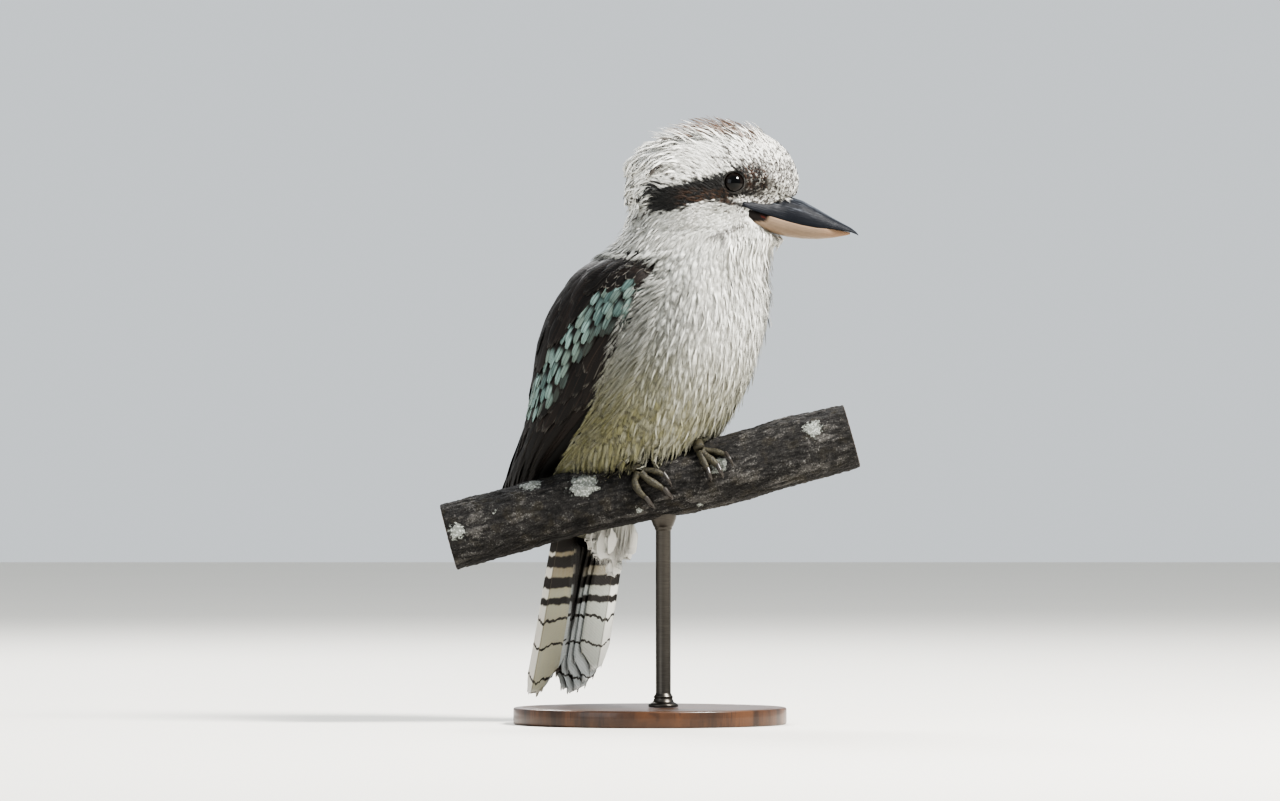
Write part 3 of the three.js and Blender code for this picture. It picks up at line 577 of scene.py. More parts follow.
def markings(points, chance, rough):
    ahead, aside, height = inHead(points).T
    aside = np.abs(aside)
    measures = {"ahead": ahead, "height": height, "left": np.abs(inBird(points)[:, 1])}
    part = {name: partShare(edges, measures) for name, edges in parts.items()}
    part["forehead"] = part["forehead"] * (1 - 0.6 * part["top"])
    ragged = (eyeStripe["ragged"] + eyeStripe["raggedBack"] * part["backOfStripe"]) * rough
    low, high = (np.interp(ahead, eyeStripe["ahead"], eyeStripe[key]) for key in ("low", "high"))
    soft = eyeStripe["soft"]
    stripe = blendUp(height + ragged - low, -soft, soft) * blendUp(high - height + ragged, -soft, soft)
    stripe = stripe * blendUp(ahead + 2 * ragged, *eyeStripe["back"]) * (aside > eyeStripe["aside"])
    stripe = stripe * blendUp(ahead + ragged, *eyeStripe["front"])
    bristle = stripe * part["bristle"]
    stripe = stripe * (1 - 0.45 * bristle * (chance > 0.84))
    sideOn = aside > 12
    stripe = np.maximum(stripe, nearLine(ahead, height, gapeLine) * sideOn)
    share = 0.03 + sum(each * part[name] for name, each in speckShares.items())
    speck = (chance < share) * part["onHead"] * (1 - stripe)
    # painted shadow in the crease from the gape back along the lower cheek, laid on as dark specks
    fold = nearLine(ahead, height, malarShadeLine)
    speck = np.maximum(speck, 0.85 * fold * (chance > 0.3) * sideOn)
    rufous = part["crest"] * (chance < 0.45) * (aside < 19)
    rufous = np.maximum(rufous, 0.55 * bristle * (chance < 0.4))
    rufous = np.maximum(rufous, 0.6 * stripe * part["underEye"] * (chance > 0.55))
    cheek = part["cheek"] * sideOn
    side = part["side"]
    # the grey on the cheeks and breast is the plumage's own; the extra darkening towards the body's sides
    # and lower down is painted shade
    dusk = 0.5 * cheek + part["breast"] * (0.42 + 0.66 * side) + 0.3 * part["lower"]
    dusk = dusk + 0.2 * part["onHead"] * part["dusky"] * (ahead < 22)
    olive = part["olive"] * (0.82 + 0.3 * rough) * (0.85 + 0.25 * side)
    scallop = part["breast"] * (0.3 + 0.7 * side) + 0.5 * cheek * (chance > 0.5)
    # painted shade in the cleft before the right thigh, laid on with the eye stripe's near-black
    cleftShade = nearLine(points[:, 0], points[:, 2], cleftShadeLine) * (points[:, 1] < 0) * (chance > 0.25)
    stripe = np.maximum(stripe, 0.75 * cleftShade)
    shares = {
        "stripe": stripe, "speck": speck, "rufous": rufous, "dusk": dusk, "olive": olive,
        "scallop": scallop, "flank": part["flank"],
    }
    return {name: np.clip(values, 0, 1) for name, values in shares.items()}


def mark(piece, points, chance, rough, bars=1):
    for name, values in markings(points, chance, rough).items():
        setValues(piece, name, values * bars if name == "scallop" else values)


# Feathers. A pattern is one feather cut out flat and frayed; a plume is a copy of it laid along a path.

patterns = {
    "down": {"columns": 4, "rows": 4, "split": 0.25, "round": 0.3, "point": 0.85, "narrow": 0.4},
    "short": {"columns": 3, "rows": 3, "split": 0.3, "round": 0.3, "point": 0.88, "narrow": 0.5},
    "tuft": {"columns": 4, "rows": 5, "split": 0.2, "round": 0.35, "point": 0.92, "narrow": 0.5},
    "scale": {"columns": 6, "rows": 6, "split": 0.4, "round": 0.42, "point": 0.85, "narrow": 0.45},
    "covert": {"columns": 6, "rows": 8, "split": 0.86, "round": 0.2, "point": 0.3, "narrow": 0.5},
    "quill": {"columns": 8, "rows": 26, "split": 0.95, "round": 0.09, "point": 0.45, "narrow": 0.55},
    "rectrix": {"columns": 14, "rows": 48, "split": 0.975, "round": 0.15, "point": 0.5, "narrow": 0.62},
    "loose": {"columns": 5, "rows": 8, "split": 0.3, "round": 0.35, "point": 0.9, "narrow": 0.4},
    "lock": {"columns": 2, "rows": 5, "split": 0.45, "round": 0.4, "point": 0.9, "narrow": 0.5},
}


def cutPattern(columns, rows, split, round, point, narrow):
    clearChoice()
    bpy.ops.mesh.primitive_grid_add(x_subdivisions=columns, y_subdivisions=rows, size=2)
    piece = named("pattern")

    def barbEdge(edge):  # an inner edge along the feather, past the split
        first, second = (piece.data.vertices[k].co for k in edge.vertices)
        lengthwise = abs(first.x - second.x) < 1e-4 and abs(first.x) < 0.99
        return lengthwise and min(first.y, second.y) > 2 * split - 1 - 1e-4
    pick(piece, "edges", "EDGE", barbEdge)
    bpy.ops.mesh.edge_split(type="EDGE")
    editAll(piece, bpy.ops.mesh.quads_convert_to_tris)
    flat = np.array([tuple(v.co) for v in piece.data.vertices])
    faces = np.array([tuple(face.vertices) for face in piece.data.polygons])
    width = 2 / columns
    middles = flat[faces, 0].min(axis=1) + width / 2
    barb = np.zeros(len(flat))
    barb[faces] = middles[:, None]
    along = (flat[:, 1] + 1) / 2
    across = flat[:, 0].copy()
    frayed = np.clip((along - split) / max(1 - split, 1e-6), 0, 1) * (along > split + 1e-6)
    shape = across + (barb - across) * frayed * point
    wave = 0.5 + 0.5 * np.sin(barb * 9.1 + 1.3)
    along = along * (1 - round * across ** 2) - frayed * 0.08 * wave
    swell = narrow + (1 - narrow) * np.sin(np.clip(along / 0.6, 0, 1) * math.pi / 2)
    bpy.data.objects.remove(piece)
    return {"along": along, "across": across, "shape": shape * swell, "faces": faces}


cut = {name: cutPattern(**sizes) for name, sizes in patterns.items()}


def alongPath(path, along):  # smooth place on each path, at each share of its length
    last = path.shape[1] - 1
    spot = np.clip(along, 0, 1) * last
    low = np.minimum(spot.astype(int), last - 1)
    share = (spot - low)[None, :, None]
    before = path[:, np.maximum(low - 1, 0)]
    start = path[:, low]
    end = path[:, low + 1]
    after = path[:, np.minimum(low + 2, last)]
    leave = (end - before) / 2
    arrive = (after - start) / 2
    square = share * share
    cube = square * share
    smooth = (2 * cube - 3 * square + 1) * start + (cube - 2 * square + share) * leave
    return smooth + (3 * square - 2 * cube) * end + (cube - square) * arrive


def layPlumes(name, pattern, path, facing, half, lift, camber=0.16, roll=None, crook=None, skew=None):
    # lift: heights of root, middle and tip over the path; camber: how far the edges curl down;
    # skew: how far the shaft lies from the middle
    shape = cut[pattern]
    count = len(path)
    along = shape["along"]
    middle = alongPath(path, along)
    up = unit(alongPath(facing, along))
    ahead = alongPath(path, along + 0.02) - alongPath(path, along - 0.02)
    side = unit(np.cross(up, ahead))
    rise = [np.asarray(level, float) * np.ones(count) for level in lift]
    share = along[None, :]
    bow = (1 - share) * (1 - 2 * share) * rise[0][:, None] + 4 * share * (1 - share) * rise[1][:, None]
    bow = bow + share * (2 * share - 1) * rise[2][:, None]
    half = np.asarray(half, float) * np.ones(count)
    flat = shape["shape"][None, :]
    if skew is not None:
        flat = flat + np.asarray(skew)[:, None] * (1 - flat ** 2)
    out = half[:, None] * flat
    curl = camber * half[:, None] * shape["across"][None, :] ** 2
    if roll is not None:
        bow = bow + out * np.asarray(roll)[:, None]
    if crook is not None:
        out = out + np.asarray(crook)[:, None] * share ** 2
    points = middle + side * out[..., None] + up * (bow - curl)[..., None]
    size = len(along)
    faces = shape["faces"][None] + (np.arange(count) * size)[:, None, None]
    piece = newPiece(name, points.reshape(-1, 3), faces.reshape(-1, 3))
    setValues(piece, "along", np.tile(along, count))
    setValues(piece, "across", np.tile(shape["across"], count))
    return piece


def spread(values, pattern):  # one value for each feather, given to each of its points
    return np.repeat(np.asarray(values, float), len(cut[pattern]["along"]), axis=0)


def setEach(piece, pattern, **values):
    for name, each in values.items():
        setValues(piece, name, spread(each, pattern))


def bakeMap(piece, pattern, places, patch=0.003):  # each feather is a small patch at its root's place
    shape = cut[pattern]
    spots = np.repeat(places, len(shape["along"]), axis=0)
    flat = np.stack([shape["across"] / 2, shape["along"] - 0.5], -1) * patch
    setMap(piece, "OFBake", spots + np.tile(flat, (len(places), 1)))


mapSizes = {"headFrom": 300, "crownFrom": 320, "foot": 100, "tall": 220, "bodyMiddle": (0, 8)}


def unwrapped(points):  # round the body's own middle line by height, and by latitude over the crown
    height = points[:, 2]
    head = inHead(points)
    own = np.where((height > mapSizes["headFrom"])[:, None], head, inBird(points, mapSizes["bodyMiddle"]))
    angle = np.arctan2(own[:, 1], own[:, 0])
    latitude = np.arctan2(height - mapSizes["crownFrom"], np.hypot(head[:, 0], head[:, 1]))
    low = 0.05 + 0.6 * (height - mapSizes["foot"]) / mapSizes["tall"]
    high = 0.65 + 0.3 * latitude / (math.pi / 2)
    return np.stack([0.5 + 0.48 * angle / math.pi, np.where(height > mapSizes["crownFrom"], high, low)], -1)


def atlas(count):  # a grid of cells for large feathers
    side = math.ceil(math.sqrt(count))
    cells = np.arange(count)
    return (np.stack([cells % side, cells // side], -1) + 0.5) / side, 0.96 / side


# Coat

def settle(tree, points):
    spots = np.empty_like(points)
    normals = np.empty_like(points)
    for k, point in enumerate(points):
        place, normal, _, _ = tree.find_nearest(Vector(point))
        spots[k] = place
        normals[k] = normal
    return spots, normals


hanging = np.array([-0.2, 0.2, -0.95])  # the way body feathers hang


def flatTo(runs, normals):
    return unit(runs - (runs * normals).sum(1, keepdims=True) * normals)


lie = {  # the point the coat runs from, and the edges between which its direction changes
    "from": (44.0, 0, 303), "droopAhead": (-26, 4), "droopHeight": (322, 336), "napeAhead": (-36, -20),
    "throat": (300, 322), "side": (18, 50), "flank": (150, 190), "neck": (272, 306),
}


def lieOfCoat(points, normals):  # back from the bill over the head, then down and back along the body
    ahead = inHead(points)[:, 0]
    height = points[:, 2]
    away = unit(points - fromHead(np.array(lie["from"])))
    droop = 0.8 * (1 - blendUp(ahead, *lie["droopAhead"])) * blendUp(height, *lie["droopHeight"])
    droop = droop + 0.45 * (1 - blendUp(ahead, *lie["napeAhead"]))
    away = unit(away - droop[:, None] * np.array([0.1, 0, 1]))
    low = 1 - blendUp(height, *lie["throat"])
    away = unit(away + low[:, None] * np.array([-0.1, 0, -0.55]))
    sideways = blendUp(np.abs(inBird(points)[:, 1]), *lie["side"]) * blendUp(height, *lie["flank"])
    down = unit(hanging + 0.3 * sideways[:, None] * birdWay(-1, 0, 0))
    share = blendUp(height, *lie["neck"])[:, None]
    return flatTo(share * away + (1 - share) * down, normals)


def follow(tree, roots, length, steps, way, clear=0.0):  # paths laid step by step over the surface
    spots, normals = settle(tree, roots)
    path, facing = [spots], [normals]
    for _ in range(steps):
        run = way(spots, normals)
        spots, normals = settle(tree, spots + run * (length / steps)[:, None] + clear * normals)
        path.append(spots)
        facing.append(normals)
    return np.stack(path, 1), np.stack(facing, 1)


crowd = 5.0  # places tried for each one that could be kept


def scatter(piece, gap, wanted, seed):  # places at least so far apart, where wanted
    random = np.random.default_rng(seed)
    points = pointsOf(piece)
    corners = points[trianglesOf(piece)]
    cross = np.cross(corners[:, 1] - corners[:, 0], corners[:, 2] - corners[:, 0])
    area = np.linalg.norm(cross, axis=1) / 2
    weight = area * wanted(corners.mean(1)) / gap ** 2
    count = int(crowd * weight.sum())
    chosen = random.choice(len(area), count, p=weight / weight.sum())
    a = random.random((count, 2))
    flip = a.sum(1) > 1
    a[flip] = 1 - a[flip]
    c = corners[chosen]
    spots = c[:, 0] + a[:, :1] * (c[:, 1] - c[:, 0]) + a[:, 1:] * (c[:, 2] - c[:, 0])
    tree = KDTree(count)
    for k, spot in enumerate(spots):
        tree.insert(spot, k)
    tree.balance()
    gone = np.zeros(count, bool)
    kept = []
    for k in range(count):
        if gone[k]:
            continue
        kept.append(k)
        for _, other, _ in tree.find_range(spots[k], gap):
            gone[other] = True
    return spots[kept]


wingAxis = {  # height, middle of the body there, its turn, and the wing's front and back edges in degrees
    "height": [117, 130, 152, 176, 193, 228, 257, 268, 276, 284],
    "x": [-38, -33.2, -24.7, -14, -7.1, 2.5, 10.8, 14, 18.2, 22],
    "y": [46, 41, 32.5, 21.8, 14.9, 5.3, -3, -6.6, -11, -15],
    "turn": [-45, -45, -45, -45, -45, -45, -45, -41, -34, -27],
    "front": [124, 112, 84, 70, 65, 61, 60, 62, 66, 84],
    "back": [168, 170, 174, 175, 174, 165, 156, 152, 148, 138],
}


def axisAt(height):
    return {key: np.interp(height, wingAxis["height"], wingAxis[key]) for key in wingAxis if key != "height"}


def wingShare(points):  # how far each place is from front to back edge of the wing on its side
    places = inBird(points)
    right = points.copy()
    flip = places[:, 1] > 0
    right[flip] = mirrored(points[flip])
    axis = axisAt(points[:, 2])
    angle = np.degrees(np.arctan2(right[:, 1] - axis["y"], right[:, 0] - axis["x"]))
    turned = (axis["turn"] - angle) % 360
    return (turned - axis["front"]) / (axis["back"] - axis["front"])


wingCover = {"top": 277, "foot": 118, "front": 0.03, "back": 1.2, "mantle": 0.9}  # heights and wing shares


def underWing(points):
    over = wingShare(points)
    tall = between(points[:, 2], wingCover["foot"], wingCover["top"])
    return tall & between(over, wingCover["front"], wingCover["back"])


bareBill = {  # edges of the bare bill on the face: back edge by height, top and bottom edges by place ahead
    "backHeight": [299, 301, 308.7, 311.9], "back": [27.8, 29.4, 30.4, 27.6],
    "topAhead": [27, 35.4, 43.5, 52.5, 56, 60, 62.5], "top": [311.9, 313.2, 314.2, 313.8, 312.3, 312, 316.5],
    "lowAhead": [30, 38.4, 48.6, 55.5], "low": [299.7, 298.6, 294.4, 291.4],
}


def onBill(points):  # where the bare bill shows and no feather grows
    ahead, _, height = inHead(points).T
    top = np.interp(ahead, bareBill["topAhead"], bareBill["top"])
    bottom = np.interp(ahead, bareBill["lowAhead"], bareBill["low"])
    back = np.interp(height, bareBill["backHeight"], bareBill["back"])
    return (ahead > back) & (height < top) & (height > bottom)


def nearEye(points, reach):
    near = np.zeros(len(points), bool)
    for eye in eyes.values():
        _, depth, aside = fromEye(eye, points)
        near |= (aside < reach) & (depth > 0)
    return near


coats = [  # bounds in height, spacing, feather sizes and height of tips by region; head first
    {"name": "coat_face", "from": 296, "to": 330, "gap": 0.96, "length": 5.4, "half": 0.75,
     "pattern": "short", "tip": (0.7, 1.7)},
    {"name": "coat_crown", "from": 330, "to": 370, "gap": 0.97, "length": 8, "half": 0.75,
     "pattern": "short", "tip": (0.8, 2.0)},
    {"name": "coat_neck", "from": 262, "to": 296, "gap": 1.15, "length": 7.5, "half": 0.7,
     "pattern": "down", "tip": (0.7, 2.0)},
    {"name": "coat_breast", "from": 205, "to": 262, "gap": 1.16, "length": 8.5, "half": 0.62,
     "pattern": "down", "tip": (0.7, 2.1)},
    {"name": "coat_belly", "from": 100, "to": 205, "gap": 1.3, "length": 9.5, "half": 0.66,
     "pattern": "down", "tip": (0.7, 2.3)},
    {"name": "coat_bars", "from": 200, "to": 284, "gap": 3.0, "length": 11, "half": 1.5,
     "pattern": "scale", "tip": (1.5, 2.7)},
    {"name": "coat_flank_bars", "from": 130, "to": 200, "gap": 3.4, "length": 12, "half": 2.3,
     "pattern": "scale", "tip": (1.9, 3.0)},
]
tufts = [  # longer wisps that break the outline: bounds ahead and in height on the head or body
    {"name": "wisps_crest", "from": 346, "to": 372, "ahead": (-16, 42), "gap": 2.7, "length": 13,
     "half": 0.75, "tip": (5.0, 10.5), "pattern": "lock", "luck": 0.62},
    {"name": "wisps_crown", "from": 328, "to": 372, "ahead": (-60, -6), "gap": 3.2, "length": 11,
     "half": 0.95, "tip": (2.6, 5.4), "pattern": "lock", "luck": 1.5},
    {"name": "wisps_nape", "from": 286, "to": 330, "ahead": (-70, -18), "gap": 3.2, "length": 10,
     "half": 1.0, "tip": (2.0, 4.4), "pattern": "lock", "luck": 1.5},
    {"name": "wisps_throat", "from": 262, "to": 296, "ahead": (20, 70), "gap": 3.2, "length": 12,
     "half": 1.0, "tip": (2.6, 5.4), "pattern": "lock"},
    {"name": "wisps_breast", "from": 172, "to": 262, "ahead": (-60, 90), "gap": 4.8, "length": 13,
     "half": 0.9, "tip": (2.4, 5.4), "pattern": "lock"},
    {"name": "wisps_thigh", "from": 138, "to": 172, "ahead": (-90, 90), "gap": 2.6, "length": 17,
     "half": 1.0, "tip": (1.5, 5.5), "hang": 0.4},
]


def mantle(points):  # dark back between the wings
    behind = (wingShare(points) >= wingCover["mantle"]) & (inBird(points)[:, 0] < 0)
    return behind & (points[:, 2] < wingCover["top"])


def layOn(tree, roots, length, steps, random, sway=0.12):
    turn = random.normal(0, sway, len(roots))[:, None]

    def way(spots, normals):
        run = lieOfCoat(spots, normals)
        return unit(run + turn * np.cross(normals, run))
    return follow(tree, roots, length, steps, way)


def finishCoat(piece, pattern, path, random, plumage, slot, luck=1, bars=1):
    count = len(path)
    chance = spread(random.random(count) * luck, pattern)
    rough = spread(random.uniform(-1, 1, count), pattern)
    mark(piece, spread(path[:, 0], pattern), chance, rough, bars)
    setEach(piece, pattern, tint=random.random(count))
    bakeMap(piece, pattern, unwrapped(path[:, 0]))
    dress(piece, plumage, slot)
    print(piece.name, count, "feathers", len(piece.data.polygons), "triangles")


growth = {  # spread of sizes, what is smaller on the face, and how feathers lift over the wing's front edge
    "vary": (0.75, 1.25), "faceAhead": (0, 40), "faceHeight": (292, 302), "faceHalf": 0.25, "faceTip": 0.45,
    "wingEdge": (0, 0.07), "wingBack": 1.1, "wingFoot": 130, "sideEdge": 0.2, "sideTop": 274,
    "overLift": 3.0, "camber": 0.12, "roll": 0.14, "crook": 0.6, "bars": 0.3,
    "quickFactor": 1.5, "headFrom": 280,
}


def growCoat(skin, tree, plumage, sizes, seed, calm, eyeReach):
    def wanted(points):
        ahead = inHead(points)[:, 0]
        inside = between(points[:, 2], sizes["from"], sizes["to"])
        inside = inside & between(ahead, *sizes.get("ahead", (-1000, 1000)))
        return inside & ~(underWing(points) | onBill(points) | mantle(points) | nearEye(points, eyeReach))
    random = np.random.default_rng(seed)
    factor = 1.0
    pattern = sizes.get("pattern", "tuft")
    roots = scatter(skin, sizes["gap"] * factor, wanted, seed)
    count = len(roots)
    length = sizes["length"] * random.uniform(*growth["vary"], count)
    face = blendUp(inHead(roots)[:, 0], *growth["faceAhead"]) * blendUp(roots[:, 2], *growth["faceHeight"])
    length *= 1 - calm * face
    half = sizes["half"] * random.uniform(*growth["vary"], count) * (1 - growth["faceHalf"] * face) * factor
    path, facing = layOn(tree, roots, length, 3, random)
    hang = sizes.get("hang", 0)  # how far the feathers leave the skin and hang straight down
    straight = np.linspace(0, 1, 4)[None, :, None] * length[:, None, None] * np.array([-0.1, 0, -1])
    path = path + hang * (path[:, :1] + straight - path)
    tip = random.uniform(*sizes["tip"], count) * (1 - growth["faceTip"] * face)
    end = wingShare(path[:, -1])
    tall = path[:, -1, 2]
    overWing = blendUp(end, *growth["wingEdge"]) * (end < growth["wingBack"])
    overWing = overWing * between(tall, growth["wingFoot"], wingCover["top"])
    fromSide = overWing * (wingShare(roots) < growth["sideEdge"]) * (roots[:, 2] < growth["sideTop"])
    path = path[:, :1] + (path - path[:, :1]) * (1 - 0.5 * fromSide)[:, None, None]
    tip += growth["overLift"] * overWing
    lift = (-0.5, 0.5 * tip + 0.4 + 0.8 * overWing, tip)
    roll = random.normal(0, growth["roll"], count)
    crook = random.normal(0, growth["crook"], count)
    piece = layPlumes(sizes["name"], pattern, path, facing, half, lift, growth["camber"], roll, crook)
    bars = 1 if pattern == "scale" else growth["bars"]  # only the scaly feathers carry the full bars
    slot = "white_plumage" if sizes["from"] > growth["headFrom"] else "breast_plumage"
    finishCoat(piece, pattern, path, random, plumage, slot, sizes.get("luck", 1), bars)


def makeCoat(skin, tree, plumage):
    for regions, seed, calm, eyeReach in ((coats, 11, 0.48, 6.6), (tufts, 71, 0.2, 0)):
        for number, sizes in enumerate(regions):
            growCoat(skin, tree, plumage, sizes, seed + number, calm, eyeReach)


# Wings: a bed smoothed over each packed wing, and its feathers in rows on it

sideWords = {-1: "right", 1: "left"}
wingSizes = {
    "top": 282, "tip": 117, "rows": 44, "columns": 30, "rim": 0.04, "sink": 1.3, "ease": 5, "vane": 0.22,
    "tuckTop": (0.09, 9), "tuckSides": (0.13, 4.5),  # share of the wing, and how far its edges dip in
    "bedRows": 0.93, "bedThick": (6, 2),  # feather tips reach past the bed, which thins towards its end
}


def makeBed():  # the right wing's surface as a grid of places and normals, down from the shoulder and back
    tree = treeOf(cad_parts["wing_right"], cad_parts["torso"])
    downs = np.linspace(0.01, 0.97, wingSizes["rows"])
    overs = np.linspace(wingSizes["rim"], 1 - wingSizes["rim"], wingSizes["columns"])
    heights = wingSizes["top"] + (wingSizes["tip"] - wingSizes["top"]) * downs
    reach = np.zeros((len(downs), len(overs)))
    axis = axisAt(heights)
    angles = np.radians(axis["turn"][:, None] - axis["front"][:, None]
                        - overs[None] * (axis["back"] - axis["front"])[:, None])
    for i, height in enumerate(heights):
        for k in range(len(overs)):
            out = Vector((math.cos(angles[i, k]), math.sin(angles[i, k]), 0))
            middle = Vector((axis["x"][i], axis["y"][i], height))
            hit = tree.ray_cast(middle + 200 * out, -out)[0]
            reach[i, k] = (hit - middle).length if hit else reach[i, k - 1]
    for _ in range(wingSizes["ease"]):
        padded = np.pad(reach, 1, mode="edge")
        reach = (padded[:-2, 1:-1] + padded[2:, 1:-1] + padded[1:-1, :-2] + padded[1:-1, 2:] + 2 * reach) / 6
    reach -= wingSizes["sink"]
    share, depth = wingSizes["tuckTop"]
    reach -= depth * (1 - blendUp(downs, 0, share))[:, None] * (1 - 0.5 * blendUp(overs, 0.7, 0.9))[None]
    share, depth = wingSizes["tuckSides"]
    reach -= depth * (1 - blendUp(overs, 0, share))[None]
    places = np.stack([
        axis["x"][:, None] + reach * np.cos(angles),
        axis["y"][:, None] + reach * np.sin(angles),
        np.repeat(heights[:, None], len(overs), 1),
    ], -1)
    run = np.gradient(places, axis=0)
    across = np.gradient(places, axis=1)
    return {"downs": downs, "overs": overs, "places": places, "normals": unit(np.cross(across, run))}


def bedAt(bed, down, over):  # place and normal at a share of the way down and over the wing
    spots = []
    for values, grid in ((down, bed["downs"]), (over, bed["overs"])):
        spot = (np.asarray(values, float) - grid[0]) / (grid[1] - grid[0])
        low = np.clip(spot.astype(int), 0, len(grid) - 2)
        spots.append((low, np.clip(spot - low, -4, 5)[..., None]))
    (row, u), (column, v) = spots
    found = []
    for grid in (bed["places"], bed["normals"]):
        near = grid[row, column] * (1 - v) + grid[row, column + 1] * v
        far = grid[row + 1, column] * (1 - v) + grid[row + 1, column + 1] * v
        found.append(near * (1 - u) + far * u)
    return found[0], unit(found[1])


# Blocks of rows, lowest layer first. The tips of each row lie between a low and a high line, drawn as shares
# down the wing at places over it; lift is the height of root, middle and tip over the bed.
wingBlocks = [
    {"name": "primaries", "pattern": "quill", "rows": 1, "count": 7, "length": (92, 70), "half": 6.6,
     "over": (0.48, 0.56), "line": [0, 1], "low": [1.0, 1.02], "high": [1.0, 1.02], "drift": (0.42, 0.12),
     "lift": (-0.6, -0.4, -1.6), "stack": 0.34, "blue": 0, "edge": 0.14},
    {"name": "secondaries", "pattern": "quill", "rows": 1, "count": 9, "length": (64, 58), "half": 7.4,
     "over": (0.46, 0.91), "line": [0, 1], "low": [0.86, 0.97], "high": [0.86, 0.97], "drift": (0.12, 0.03),
     "lift": (-0.4, 0.3, -0.3), "stack": 0.36, "blue": 0, "edge": 0.14},
    {"name": "tertials", "pattern": "quill", "rows": 1, "count": 5, "length": (62, 56), "half": 8.4,
     "over": (0.66, 0.98), "line": [0, 1], "low": [0.84, 0.82], "high": [0.84, 0.82], "drift": (0, 0),
     "lift": (0.2, 2.0, 2.2), "stack": 0.4, "blue": 0, "edge": 0.15},
    {"name": "greater_coverts", "pattern": "covert", "rows": 3, "count": 13, "length": (36, 26), "half": 5.4,
     "over": (0.11, 0.94), "line": [0, 0.3, 0.6, 1], "low": [0.5, 0.64, 0.74, 0.78],
     "high": [0.33, 0.5, 0.62, 0.68], "drift": (0.05, 0), "lift": (-0.3, 1.2, 1.3), "stack": 0.07,
     "blue": 0.05, "edge": 0.35},
    {"name": "median_coverts", "pattern": "covert", "rows": 6, "count": 15, "length": (19, 17), "half": 2.9,
     "over": (0.07, 0.7), "line": [0.04, 0.14, 0.22, 0.3, 0.36, 0.42, 0.5, 0.58, 0.7],
     "low": [0.27, 0.3, 0.38, 0.5, 0.56, 0.6, 0.61, 0.6, 0.6],
     "high": [0.13, 0.14, 0.16, 0.19, 0.23, 0.28, 0.38, 0.46, 0.55], "drift": (0.02, 0),
     "lift": (0.2, 2.0, 2.3), "stack": 0, "blue": 1, "edge": 0.1},
    {"name": "lesser_coverts", "pattern": "covert", "rows": 7, "count": 12, "length": (11, 10), "half": 2.9,
     "over": (0.0, 0.52), "line": [0, 0.2, 0.4, 0.52], "low": [0.13, 0.135, 0.17, 0.24],
     "high": [0.03, 0.02, 0.02, 0.03], "drift": (0.01, 0), "lift": (0.2, 2.4, 2.7), "stack": 0,
     "blue": 0, "edge": 1.0},
    {"name": "scapulars", "pattern": "covert", "rows": 7, "count": 8, "length": (44, 24), "half": 6.4,
     "over": (0.4, 1.06), "line": [0.4, 0.5, 0.6, 0.75, 1.06], "low": [0.24, 0.36, 0.46, 0.54, 0.58],
     "high": [0.1, 0.12, 0.12, 0.14, 0.14], "drift": (0.02, 0), "lift": (0.2, 3.0, 2.9), "stack": 0.03,
     "blue": 0, "edge": 0.1},
]


laying = {  # how unevenly the rows lie: along the row, at the tips, in length, width, roll and height
    "place": 0.2, "tip": 0.007, "length": (0.92, 1.08), "half": (0.85, 1.12), "roll": 0.08, "rowLift": 0.1,
    "lift": 0.5, "camber": 0.16,
}


def layBlock(bed, block, side, random):
    pattern = block["pattern"]
    rows = block["rows"]
    count = block["count"]
    tall = wingSizes["top"] - wingSizes["tip"]
    steps = np.linspace(0, 1, 6)
    paths, facings, halves, heights, blues, edges = [], [], [], [], [], []
    for row in range(rows):
        share = row / max(rows - 1, 1)
        place = np.linspace(0, 1, count) + (0.5 / count if row % 2 else 0)
        place = place + (random.normal(0, laying["place"] / count, count) if rows > 1 else 0)
        over = block["over"][0] + (block["over"][1] - block["over"][0]) * place
        spot = place if rows == 1 else over
        low = np.interp(spot, block["line"], block["low"])
        high = np.interp(spot, block["line"], block["high"])
        tip = low + (high - low) * share
        tip = tip + (random.normal(0, laying["tip"], count) if rows > 1 else 0)
        first, last = block["length"]
        length = first + (last - first) * (place if rows == 1 else share)
        length = length * random.uniform(*laying["length"], count)
        drift = block["drift"][0] + (block["drift"][1] - block["drift"][0]) * place
        back = (1 - steps)[None]
        down = np.maximum(tip[:, None] - back * length[:, None] / tall, -0.02 + 0.02 * steps)
        places, normals = bedAt(bed, down, over[:, None] - back * drift[:, None])
        paths.append(places)
        facings.append(normals)
        halves.append(block["half"] * random.uniform(*laying["half"], count))
        height = block["stack"] * np.arange(count) + laying["rowLift"] * row
        heights.append(height + random.uniform(0, laying["lift"], count))
        if block["blue"] == 1:  # the turquoise dulls on the lowest rows and towards the front edge
            fade = 1 - 0.75 * (row == 0) * (over < 0.34) - 0.45 * (row == 1) * (over < 0.26)
            fade = fade * (0.55 + 0.45 * blendUp(over, 0.04, 0.2))
            blues.append(np.clip(fade * random.uniform(0.6, 1.1, count), 0, 1))
        else:
            blues.append((random.random(count) < block["blue"]) * random.uniform(0.3, 0.7, count))
        edges.append(block["edge"] * random.uniform(0.2, 1.0, count) ** 1.7)
    path = np.concatenate(paths)
    facing = np.concatenate(facings)
    if side > 0:
        path = mirrored(path)
        facing = mirrored(facing) - mirrored(np.zeros((1, 3)))
    extra = np.concatenate(heights)
    lift = [level + extra for level in block["lift"]]
    number = len(path)
    roll = random.normal(0, laying["roll"], number)
    name = block["name"] + "_" + sideWords[side]
    half = np.concatenate(halves)
    piece = layPlumes(name, pattern, path, facing, half, lift, laying["camber"], roll)
    blue, edge = np.concatenate(blues), np.concatenate(edges)
    setEach(piece, pattern, tint=random.random(number), blue=blue, edge=edge)
    bakeMap(piece, pattern, *atlas(number))
    applyModifier(piece, "SOLIDIFY", thickness=wingSizes["vane"] * mm, offset=-1)
    return piece


